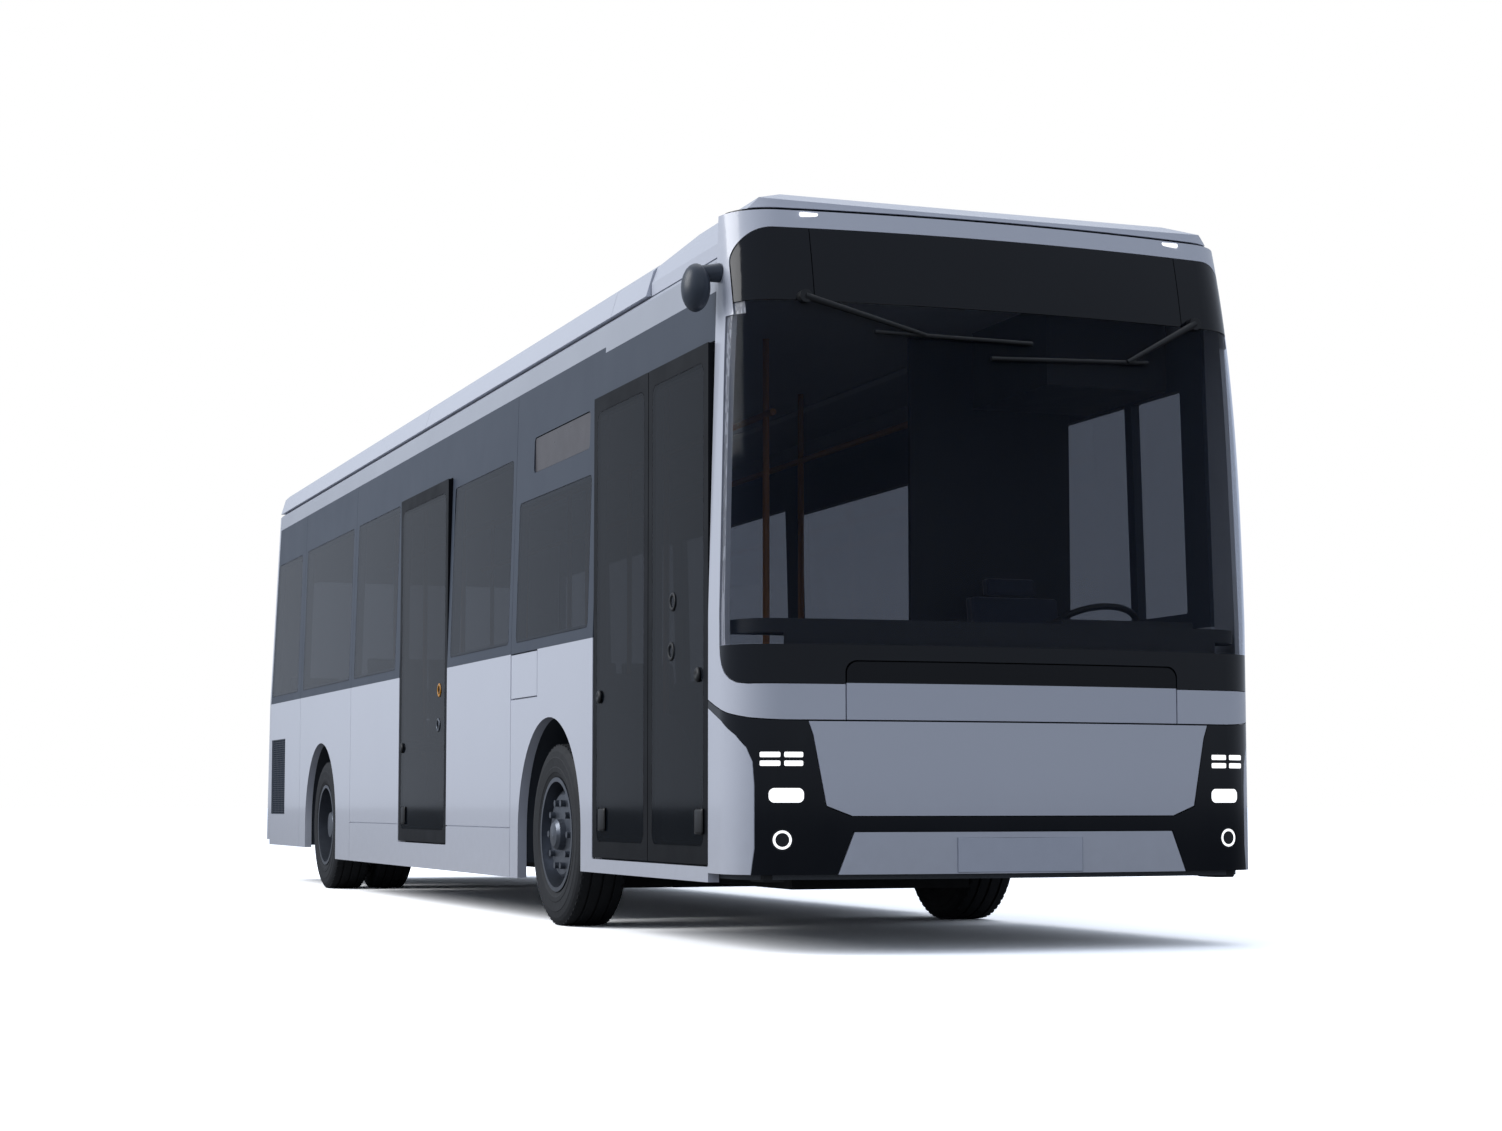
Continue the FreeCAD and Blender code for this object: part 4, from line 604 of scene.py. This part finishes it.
@dataclass
class Tyres:
    """Road tyres with three grooves round the tread and moulded sidewall rings."""

    radius: float = 0.4668
    bead: float = 0.2875
    groove_depth: float = 0.013
    groove_half: float = 0.0055
    steps: int = 120
    lugs: int = 60
    lug_radius: float = 0.4615
    lug_in: float = 0.032
    lug_size: tuple[float, float, float] = (0.007, 0.016, 0.028)

    def outline(self) -> list[tuple[float, float]]:
        """Return the section as radius and distance in from the outer sidewall."""
        w = LINES.tyre_width
        r = self.radius
        half = [(self.bead, 0.0225), (self.bead + 0.012, 0.0135), (0.318, 0.0065),
                (0.322, 0.0035), (0.345, 0.0015), (0.349, 0.0035), (0.395, 0.0005),
                (0.399, 0.0025), (0.428, 0.0055), (0.445, 0.0125), (0.458, 0.0225),
                (r - 0.0015, 0.0345)]
        tread = []
        for middle in (0.075, w / 2.0, w - 0.075):
            tread += [(r, middle - self.groove_half - 0.001),
                      (r - self.groove_depth, middle - self.groove_half + 0.002),
                      (r - self.groove_depth, middle + self.groove_half - 0.002),
                      (r, middle + self.groove_half + 0.001)]
        return half + tread + [(radius, w - along) for radius, along in reversed(half)]

    def one(self, shape: Shape, x: float, outer: float, side: float) -> None:
        """Add one tyre whose outer sidewall is at outer."""
        start = Vector((x, side * outer, LINES.axle_z))
        shape.lathe(self.outline(), start, Vector((0.0, -side, 0.0)), self.steps)

    def blocks(self, shape: Shape, x: float, outer: float, side: float) -> None:
        """Add the shoulder lugs: short bars round both shoulders of the tread."""
        for i in range(self.lugs):
            turn = math.tau * i / self.lugs
            for along in (self.lug_in, LINES.tyre_width - self.lug_in):
                centre = Vector((x + self.lug_radius * math.cos(turn), side * (outer - along),
                                 LINES.axle_z + self.lug_radius * math.sin(turn)))
                place = (Matrix.Translation(centre) @ Matrix.Rotation(-turn, 4, "Y")
                         @ Matrix.Diagonal((*self.lug_size, 1.0)))
                bmesh.ops.create_cube(shape.bm, size=1.0, matrix=place)

    def build(self) -> None:
        """Make the four sets and hide the plain construction tyres."""
        inner = LINES.wheel_face - LINES.tyre_width - LINES.twin_gap
        sets = (("front", "left", LINES.front_axle, (LINES.wheel_face,), "front_tyre_left"),
                ("front", "right", LINES.front_axle, (LINES.wheel_face,), "front_tyre_right"),
                ("rear", "left", LINES.rear_axle, (LINES.wheel_face, inner), "rear_tyres_left"),
                ("rear", "right", LINES.rear_axle, (LINES.wheel_face, inner),
                 "rear_tyres_right"))
        for end, hand, x, faces, node in sets:
            side = 1.0 if hand == "left" else -1.0
            shape = Shape()
            for outer in faces:
                self.one(shape, x, outer, side)
                self.blocks(shape, x, outer, side)
            piece = shape.finish(f"{end}_{hand}_treads", Body(f"{end}_wheel_{hand}"), "rubber",
                                 TYRE)
            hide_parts(node)


@dataclass
class NoseDetails:
    """Number plate blank, fog lamp lenses, marker lamps and corner brackets on the nose."""

    plate_half: float = 0.292
    plate_low: float = 0.338
    plate_high: float = 0.482
    plate_depth: float = 0.014
    plate_gap: float = 0.0003
    fog_y: float = 1.055
    fog_z: float = 0.476
    fog_depth: float = 0.018
    marker_y: float = 0.876
    marker_z: float = 3.130
    marker_half: float = 0.042
    bracket_back: tuple[float, float] = (0.30, 0.14)
    bracket_side: tuple[float, float] = (1.02, 1.12)
    bracket_z: tuple[float, float] = (0.300, 0.338)

    def plate(self) -> None:
        """Make the blank plate."""
        shape = Shape()
        front = LINES.nose - self.plate_gap
        shape.block((front - self.plate_depth, -self.plate_half, self.plate_low),
                    (front, self.plate_half, self.plate_high), 0.0012, 1)
        shape.finish("front_plate_blank", Body.BUS, "paint", PLATE)

    def fog_lenses(self) -> None:
        """Make the chromed projector in the middle of each fog lamp."""
        lenses = Shape()
        x = LINES.face(self.fog_y, self.fog_z) - self.fog_depth
        axis = Vector((1.0, 0.0, 0.0))
        at = Vector((x, self.fog_y, self.fog_z))
        lenses.lathe([(0.0005, 0.0125), (0.008, 0.012), (0.014, 0.009), (0.016, 0.004),
                      (0.016, -0.004), (0.0005, -0.004)], at, axis)
        lenses.mirrored()
        lenses.finish("fog_lamp_lenses", Body.BUS, "lamp", REFLECTOR, True)

    def markers(self) -> None:
        """Make the two small lit markers in the slot over the visor."""
        shape = Shape()
        y, z = self.marker_y, self.marker_z
        x = LINES.face(y, z)
        half = self.marker_half
        shape.block((x - 0.02, y - half, z + 0.002), (x + 0.002, y + half, z + 0.022),
                    0.006, 3)
        shape.mirrored()
        shape.finish("header_marker_lamps", Body.BUS, "lamp", LAMP, True)

    def brackets(self) -> None:
        """Make the black jacking brackets under the two front corners."""
        shape = Shape()
        (rear, front), side, z = self.bracket_back, self.bracket_side, self.bracket_z
        shape.block((LINES.back(rear), side[0], z[0]), (LINES.back(front), side[1], z[1]),
                    0.008)
        shape.mirrored()
        shape.finish("corner_brackets", Body.BUS, "steel", CHASSIS)

    def build(self) -> None:
        """Make all of them."""
        self.plate()
        self.fog_lenses()
        self.markers()
        self.brackets()


@dataclass
class DoorFittings:
    """Knobs, release rings and handles on the passenger doors, as places behind the nose."""

    face: float = -1.248
    knob_radius: float = 0.032
    handle_z: float = 0.55
    handle_half: tuple[float, float] = (0.05, 0.055)
    leaves: tuple[tuple[Body, tuple[float, float], float], ...] = (
        (Body.FORE_LEAF, (0.58, 1.18), 0.56), (Body.AFT_LEAF, (2.03, 1.14), 1.98),
        (Body.MID_LEAF, (6.36, 0.98), 6.30))
    fore_rings: tuple[tuple[float, float], ...] = ((0.93, 1.52), (0.95, 1.30))
    release_ring: tuple[float, float] = (5.36, 1.31)
    grey_ring: tuple[float, float] = (5.38, 1.10)

    def knob(self, shape: Shape, back: float, z: float) -> None:
        """Add a round knob that stands out of the leaf."""
        radius = self.knob_radius
        shape.lathe([(0.0005, 0.016), (radius * 0.7, 0.0155), (radius, 0.010),
                     (radius, -0.002), (0.0005, -0.002)],
                    Vector((LINES.back(back), self.face, z)), Vector((0.0, -1.0, 0.0)), 28)

    def handle(self, shape: Shape, back: float) -> None:
        """Add the low moulded handle of a leaf."""
        x, z = LINES.back(back), self.handle_z
        wide, high = self.handle_half
        shape.block((x - wide, self.face - 0.012, z - high),
                    (x + wide, self.face + 0.002, z + high), 0.012, 3)

    def rings(self, name: str, body: Body, slot: str, finish: Finish,
              places: tuple[tuple[float, float], ...]) -> None:
        """Make the release rings on a leaf's pane.

        Args:
            name: name of the piece.
            body: leaf that carries it.
            slot: the record's material slot.
            finish: surface finish.
            places: distance behind the nose and height of each ring.
        """
        shape = Shape()
        for back, z in places:
            shape.lathe([(0.026, 0.004), (0.034, 0.006), (0.042, 0.004), (0.042, 0.0),
                         (0.026, 0.0)],
                        Vector((LINES.back(back), self.face, z)), Vector((0.0, -1.0, 0.0)),
                        32)
        shape.finish(name, body, slot, finish, True)

    def build(self) -> None:
        """Dress the three leaves."""
        for body, knob, handle_back in self.leaves:
            shape = Shape()
            self.knob(shape, *knob)
            self.handle(shape, handle_back)
            shape.finish(f"{body.value}_knobs", body, "black_trim", MOULDED, True)
        self.rings("fore_leaf_rings", Body.FORE_LEAF, "black_trim", MOULDED, self.fore_rings)
        self.rings("mid_leaf_release", Body.MID_LEAF, "lamp", AMBER, (self.release_ring,))
        self.rings("mid_leaf_ring", Body.MID_LEAF, "rim", WHEEL, (self.grey_ring,))


@dataclass
class SideDetails:
    """Vent grilles at the rear corners, step edges under the doors and the side display."""

    grille_front: float = 10.605
    grille_rear: float = 11.21
    low: float = 0.545
    high: float = 1.135
    columns: int = 9
    rows: int = 34
    step_edges: tuple[tuple[str, float, float, float, float], ...] = (
        ("mid_step_edge", 6.56, 5.13, 0.347, 0.378),
        ("front_step_edge", 2.15, 0.455, 0.335, 0.356))
    edge_y: tuple[float, float] = (-1.2499, -1.2465)
    display_back: tuple[float, float] = (3.33, 2.305)
    display_y: tuple[float, float] = (-1.2165, -1.2152)
    display_z: tuple[float, float] = (2.394, 2.575)

    def grille(self) -> None:
        """Make a lattice of thin bars over each vent's recess."""
        shape = Shape()
        y = LINES.half_width - 0.009
        x0, x1 = LINES.back(self.grille_rear), LINES.back(self.grille_front)
        for i in range(self.columns + 1):
            x = x0 + (x1 - x0) * i / self.columns
            shape.block((x - 0.004, y, self.low), (x + 0.004, y + 0.006, self.high))
        for i in range(self.rows + 1):
            z = self.low + (self.high - self.low) * i / self.rows
            shape.block((x0, y - 0.001, z - 0.0035), (x1, y + 0.004, z + 0.0035))
        shape.mirrored()
        shape.finish("vent_grilles", Body.BUS, "slate", BAND)

    def backing(self) -> None:
        """Make the dark plate behind each lattice."""
        shape = Shape()
        y = LINES.half_width - 0.0118
        shape.block((LINES.back(self.grille_rear), y - 0.001, self.low),
                    (LINES.back(self.grille_front), y, self.high))
        shape.mirrored()
        shape.finish("vent_backing", Body.BUS, "dark", CHASSIS)

    def step_edge(self, name: str, rear: float, front: float, low: float,
                  high: float) -> None:
        """Make the slate edge of the step under a door.

        Args:
            name: name of the piece.
            rear: distance of its rear end behind the nose.
            front: distance of its front end behind the nose.
            low: its lower edge.
            high: its upper edge.
        """
        shape = Shape()
        shape.block((LINES.back(rear), self.edge_y[0], low),
                    (LINES.back(front), self.edge_y[1], high), 0.001, 1)
        shape.finish(name, Body.BUS, "slate", BAND)

    def display(self) -> None:
        """Make the pane of the route display in the band over the doors."""
        shape = Shape()
        (rear, front), y, z = self.display_back, self.display_y, self.display_z
        shape.block((LINES.back(rear), y[0], z[0]), (LINES.back(front), y[1], z[1]))
        shape.finish("side_display_pane", Body.BUS, "glass", DISPLAY)

    def build(self) -> None:
        """Make all of them."""
        self.grille()
        self.backing()
        for edge in self.step_edges:
            self.step_edge(*edge)
        self.display()


@dataclass
class Seats:
    """Passenger and driver's seats: moulded shells with crowned woven pads."""

    rows: tuple[tuple[float, float, float], ...] = (
        (3.9, 0.36, 1.0), (3.9, 0.36, -1.0), (4.7, 0.36, 1.0), (4.7, 0.36, -1.0),
        (5.5, 0.36, 1.0), (6.3, 0.36, 1.0), (7.75, 0.64, 1.0), (7.75, 0.64, -1.0),
        (10.75, 0.64, 1.0), (10.75, 0.64, -1.0))
    seat_width: float = 0.44
    pair_y: float = 0.72
    half: float = 0.20
    pan_rise: float = 0.38
    pole_radius: float = 0.045
    driver_at: tuple[float, float, float] = (1.18, 0.68, 0.61)

    def pad(self, shape: Shape, low: Vector, high: Vector, slant: float, crown: float) -> None:
        """Add a crowned pad: a rounded box whose big faces bulge.

        Args:
            shape: mesh that receives the pad.
            low: lowest corner.
            high: highest corner.
            slant: how far the top leans back over the pad's height.
            crown: extra thickness in the middle.
        """
        part = bmesh.new()
        size = high - low
        middle = (low + high) / 2.0
        bmesh.ops.create_cube(part, size=1.0, matrix=Matrix.Diagonal((*size, 1.0)))
        bmesh.ops.bevel(part, geom=part.edges[:], offset=0.014, affect="EDGES", segments=2,
                        profile=0.5, material=-1)
        bmesh.ops.subdivide_edges(part, edges=part.edges[:], cuts=5, use_grid_fill=True)
        thin = min(range(3), key=lambda k: size[k])
        wide = [k for k in range(3) if k != thin]
        for v in part.verts:
            share = 1.0
            for k in wide:
                share *= max(0.0, math.cos(math.pi * v.co[k] / size[k]))
            v.co[thin] += math.copysign(crown * share, v.co[thin])
            pull = abs(v.co[thin]) / (size[thin] / 2.0)
            for k in wide:
                v.co[k] *= 1.0 - 0.012 * (1.0 - min(1.0, pull))
            v.co.x -= slant * (v.co.z / size.z + 0.5)
        bmesh.ops.translate(part, vec=middle, verts=part.verts)
        spare = bpy.data.meshes.new("spare")
        part.to_mesh(spare)
        part.free()
        shape.bm.from_mesh(spare)
        bpy.data.meshes.remove(spare)

    def build(self) -> None:
        """Make shells and pads and hide the plain construction seats."""
        shells, cushions, backs = Shape(), Shape(), Shape()
        for row, floor, side in self.rows:
            x = LINES.back(row)
            for k in (-0.5, 0.5):
                y = side * self.pair_y + k * self.seat_width
                y0, y1 = y - self.half, y + self.half
                low = floor + self.pan_rise
                shells.block((x - self.half, y0, low), (x + self.half, y1, low + 0.028), 0.01)
                self.pad(shells, Vector((x - 0.21, y0, low + 0.01)),
                         Vector((x - 0.185, y1, low + 0.63)), 0.062, 0.0)
                self.pad(cushions, Vector((x - 0.17, y0 + 0.01, low + 0.029)),
                         Vector((x + self.half, y1 - 0.01, low + 0.064)), 0.0, 0.006)
                self.pad(backs, Vector((x - 0.183, y0 + 0.01, low + 0.08)),
                         Vector((x - 0.153, y1 - 0.01, low + 0.61)), 0.058, 0.006)
            middle, top = side * self.pair_y, floor + self.pan_rise
            shells.rod(Vector((x, middle, floor)), Vector((x, middle, top)), self.pole_radius)
            shells.block((x - 0.16, middle - 0.36, floor + 0.345),
                         (x + 0.16, middle + 0.36, top), 0.008)
        base = shells.finish("passenger_seat_shells", Body.BUS, "interior", INTERIOR)
        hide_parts("passenger_seats")
        for shape, name in ((cushions, "seat_cushions"), (backs, "seat_back_pads")):
            piece = shape.finish(name, Body.BUS, "seat", MOQUETTE, True)
        self.driver()

    def driver(self) -> None:
        """Make the driver's high-backed seat."""
        back, y, floor = self.driver_at
        x = LINES.back(back)
        base = Shape()
        base.block((x - 0.19, y - 0.17, floor), (x + 0.19, y + 0.17, floor + 0.33), 0.03, 3)
        piece = base.finish("driver_seat_base", Body.BUS, "interior", INTERIOR)
        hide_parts("driver_seat")
        pads = Shape()
        self.pad(pads, Vector((x - 0.21, y - 0.235, floor + 0.335)),
                 Vector((x + 0.235, y + 0.235, floor + 0.45)), 0.0, 0.008)
        self.pad(pads, Vector((x - 0.235, y - 0.23, floor + 0.46)),
                 Vector((x - 0.145, y + 0.23, floor + 1.02)), 0.09, 0.010)
        self.pad(pads, Vector((x - 0.335, y - 0.13, floor + 1.03)),
                 Vector((x - 0.265, y + 0.13, floor + 1.115)), 0.01, 0.004)
        seat = pads.finish("driver_seat_pads", Body.BUS, "seat", MOQUETTE, True)


@dataclass
class RoofDetails:
    """Fan openings and lid ribs on the roof units."""

    fan_radius: float = 0.24
    fan_backs: tuple[float, float] = (6.35, 7.45)
    fan_side: float = 0.38
    fan_rings: int = 5
    fan_spokes: int = 4
    unit_top: float = 3.21
    packs: tuple[tuple[float, float], ...] = ((1.65, 3.45), (3.6, 5.4), (8.4, 10.4))
    rib_half: tuple[float, float] = (0.03, 0.70)
    rib_z: tuple[float, float] = (3.245, 3.258)
    rib_steps: int = 4

    def build(self) -> None:
        """Make the fans of the air-conditioning unit and the ribs of the packs."""
        fans = Shape()
        for back_by in self.fan_backs:
            for side in (-self.fan_side, self.fan_side):
                at = Vector((LINES.back(back_by), side, self.unit_top - 0.004))
                r = self.fan_radius
                fans.lathe([(r - 0.02, 0.0), (r, 0.0), (r, 0.022), (r - 0.02, 0.022)], at,
                           Vector((0.0, 0.0, 1.0)), 40)
                for i in range(1, self.fan_rings):
                    q = r * i / self.fan_rings
                    fans.lathe([(q - 0.003, 0.008), (q + 0.003, 0.008), (q + 0.003, 0.014),
                                (q - 0.003, 0.014)], at, Vector((0.0, 0.0, 1.0)), 32)
                for i in range(self.fan_spokes):
                    turn = i * math.pi / self.fan_spokes
                    step = Vector((math.cos(turn), math.sin(turn), 0.0)) * (r - 0.01)
                    up = Vector((0.0, 0.0, 0.011))
                    fans.rod(at - step + up, at + step + up, 0.004, segments=8)
        fans.finish("roof_fan_guards", Body.BUS, "dark", MOULDED)
        ribs = Shape()
        along, across = self.rib_half
        for start, end in self.packs:
            for i in range(self.rib_steps + 1):
                x = LINES.back(start + 0.2 + (end - start - 0.4) * i / self.rib_steps)
                ribs.block((x - along, -across, self.rib_z[0]),
                           (x + along, across, self.rib_z[1]), 0.005)
        ribs.finish("battery_lid_ribs", Body.BUS, "roof", ROOF_PAINT)


@dataclass
class RearDetails:
    """Lid louvres, blank plate and high stop lamp at the rear."""

    foot: float = 0.333
    top: float = 2.963
    low_lean: float = 0.07
    high_lean: float = 0.16
    louvres: int = 14
    louvre_z: float = 0.56
    louvre_pitch: float = 0.03
    louvre_half: float = 0.60
    plate_half: float = 0.26
    plate_z: tuple[float, float] = (1.06, 1.18)
    plate_face_z: float = 1.12
    lamp_half: float = 0.25
    lamp_z: tuple[float, float] = (2.61, 2.635)
    lamp_face_z: float = 2.62

    def rear_face(self, z: float) -> float:
        """Return X of the rear surface at the middle of the bus."""
        if z < LINES.belt:
            return -LINES.nose + self.low_lean * (z - self.foot) / (LINES.belt - self.foot)
        return (-LINES.nose + self.low_lean
                + self.high_lean * (z - LINES.belt) / (self.top - LINES.belt))

    def build(self) -> None:
        """Make all of them."""
        louvres = Shape()
        for i in range(self.louvres):
            z = self.louvre_z + i * self.louvre_pitch
            x = self.rear_face(z)
            louvres.block((x + 0.0012, -self.louvre_half, z),
                          (x + 0.012, self.louvre_half, z + 0.012), 0.001, 1)
        louvres.finish("lid_louvres", Body.LID, "dark", MOULDED)
        plate = Shape()
        x, z = self.rear_face(self.plate_face_z), self.plate_z
        plate.block((x + 0.001, -self.plate_half, z[0]), (x + 0.010, self.plate_half, z[1]),
                    0.001, 1)
        plate.finish("rear_plate_blank", Body.LID, "paint", PLATE)
        strip = Shape()
        x, z = self.rear_face(self.lamp_face_z), self.lamp_z
        strip.block((x + 0.001, -self.lamp_half, z[0]), (x + 0.014, self.lamp_half, z[1]),
                    0.003, 2)
        strip.finish("high_stop_lamp", Body.BUS, "lamp", LAMP)


@dataclass
class CabDetails:
    """What shows through the windscreen: the instrument screen and the ceiling lights."""

    screen_back: tuple[float, float] = (0.4725, 0.4705)
    screen_y: tuple[float, float] = (0.50, 0.90)
    screen_z: tuple[float, float] = (1.27, 1.41)
    light_back: tuple[float, float] = (10.8, 1.9)
    light_side: float = 0.62
    light_half: float = 0.035
    light_z: tuple[float, float] = (2.93, 2.9395)

    def build(self) -> None:
        """Make the cab's small parts."""
        screen = Shape()
        (rear, front), y, z = self.screen_back, self.screen_y, self.screen_z
        screen.block((LINES.back(rear), y[0], z[0]), (LINES.back(front), y[1], z[1]),
                     0.0008, 1)
        screen.finish("instrument_display", Body.BUS, "dark", SCREEN_OFF)
        lights = Shape()
        (rear, front), z = self.light_back, self.light_z
        for side in (-self.light_side, self.light_side):
            lights.block((LINES.back(rear), side - self.light_half, z[0]),
                         (LINES.back(front), side + self.light_half, z[1]), 0.003, 1)
        lights.finish("ceiling_light_strips", Body.BUS, "lamp", PLATE)


@dataclass
class Studio:
    """Pale floor, soft light and the camera."""

    eye: tuple[float, float, float] = (15.606, -4.873, 0.628)
    yaw: float = 20.018
    pitch: float = 4.437
    lens: float = 61.34
    shift: tuple[float, float] = (0.01045, 0.02597)
    floor_shown: float = 2.15
    floor_bounce: float = 0.2
    glass_view: str = "cbd9f5"
    floor_half: float = 300.0
    sky_colour: tuple[float, float, float, float] = (0.78, 0.86, 1.0, 1.0)
    sky_strength: float = 0.62
    key_at: tuple[float, float, float] = (-1.0, -16.0, 11.0)
    key_aim: tuple[float, float, float] = (0.0, 0.0, 1.2)
    key_size: float = 12.0
    key_power: float = 2300.0
    fill_at: tuple[float, float, float] = (0.0, 2.0, 14.0)
    fill_aim: tuple[float, float, float] = (0.0, 0.0, 1.0)
    fill_size: float = 14.0
    fill_power: float = 500.0

    def floor(self) -> None:
        """Make the floor, white to the camera and shaded by the bus."""
        bm = bmesh.new()
        bmesh.ops.create_grid(bm, x_segments=1, y_segments=1, size=self.floor_half)
        mesh = bpy.data.meshes.new("studio_floor")
        bm.to_mesh(mesh)
        bm.free()
        made = bpy.data.materials.new("studio_floor_paint")
        made.use_nodes = True
        tree = made.node_tree
        tree.nodes.clear()
        place = add_node(tree, "ShaderNodeTexCoord").outputs["Object"]
        grain = add_node(tree, "ShaderNodeTexNoise", None, {"Vector": place, "Scale": 3.0})
        path = add_node(tree, "ShaderNodeLightPath").outputs["Is Camera Ray"]
        seen = add_node(tree, "ShaderNodeMapRange", None, {
            "Value": path, "To Min": self.floor_bounce, "To Max": self.floor_shown})
        tone = add_node(tree, "ShaderNodeMath", {"operation": "MULTIPLY_ADD"}, {
            0: grain.outputs["Fac"], 1: 0.02, 2: seen.outputs["Result"]})
        plain = add_node(tree, "ShaderNodeBsdfDiffuse", None, {"Color": tone.outputs[0]})
        add_node(tree, "ShaderNodeOutputMaterial", None, {"Surface": plain.outputs[0]})
        mesh.materials.append(made)
        floor = bpy.data.objects.new("studio_floor", mesh)
        bpy.context.scene.collection.objects.link(floor)

    def sky(self) -> None:
        """Light the room evenly, and show it white."""
        world = bpy.data.worlds.new("studio_world")
        world.use_nodes = True
        tree = world.node_tree
        tree.nodes.clear()
        path = add_node(tree, "ShaderNodeLightPath")
        seen = add_node(tree, "ShaderNodeMath", {"operation": "MAXIMUM"}, {
            0: path.outputs["Is Camera Ray"], 1: path.outputs["Is Transmission Ray"]})
        soft = add_node(tree, "ShaderNodeBackground", None, {
            "Color": self.sky_colour, "Strength": self.sky_strength})
        layers = add_node(tree, "ShaderNodeMath", {"operation": "MINIMUM"}, {
            0: path.outputs["Transparent Depth"], 1: 1.0})
        tint = add_node(tree, "ShaderNodeMix", {"data_type": "RGBA"}, {0: layers.outputs[0]})
        tint.inputs[6].default_value = (1.0, 1.0, 1.0, 1.0)
        tint.inputs[7].default_value = linear(self.glass_view)
        white = add_node(tree, "ShaderNodeBackground", None, {
            "Color": tint.outputs[2], "Strength": 1.0})
        mix = add_node(tree, "ShaderNodeMixShader", None, {
            0: seen.outputs[0], 1: soft.outputs[0], 2: white.outputs[0]})
        add_node(tree, "ShaderNodeOutputWorld", None, {"Surface": mix.outputs[0]})
        bpy.context.scene.world = world

    def lamp(self, name: str, at: tuple[float, float, float], aim: tuple[float, float, float],
             size: float, power: float) -> None:
        """Add a square soft light.

        Args:
            name: name of the light.
            at: its place.
            aim: the point it faces.
            size: side of its square.
            power: its power in watts.
        """
        data = bpy.data.lights.new(name, "AREA")
        data.size = size
        data.energy = power
        piece = bpy.data.objects.new(name, data)
        piece.location = at
        piece.rotation_euler = (Vector(aim) - Vector(at)).to_track_quat("-Z", "Y").to_euler()
        bpy.context.scene.collection.objects.link(piece)

    def camera(self) -> None:
        """Place the camera low in front of the right-hand corner."""
        yaw, pitch = math.radians(self.yaw), math.radians(self.pitch)
        ahead = Vector((-math.cos(yaw) * math.cos(pitch), math.sin(yaw) * math.cos(pitch),
                        math.sin(pitch)))
        data = bpy.data.cameras.new("camera")
        data.lens = self.lens
        data.sensor_width = 36.0
        data.shift_x, data.shift_y = self.shift
        data.clip_end = 500.0
        piece = bpy.data.objects.new("camera", data)
        piece.location = self.eye
        piece.rotation_euler = ahead.to_track_quat("-Z", "Y").to_euler()
        bpy.context.scene.collection.objects.link(piece)
        bpy.context.scene.camera = piece

    def build(self) -> None:
        """Set the stage."""
        self.floor()
        self.sky()
        self.lamp("side_key", self.key_at, self.key_aim, self.key_size, self.key_power)
        self.lamp("top_fill", self.fill_at, self.fill_aim, self.fill_size, self.fill_power)
        self.camera()
        bpy.context.scene.view_settings.view_transform = "Standard"


def main() -> None:
    """Build and dress the bus in order."""
    logging.basicConfig(level=logging.INFO, format="%(name)s: %(message)s")
    Studio().build()
    CadFinishes().dress()
    for part in (Tyres(), NoseDetails(), DoorFittings(), SideDetails(), Seats(), RoofDetails(),
                 RearDetails(), CabDetails()):
        part.build()


if __name__ == "__main__":
    main()
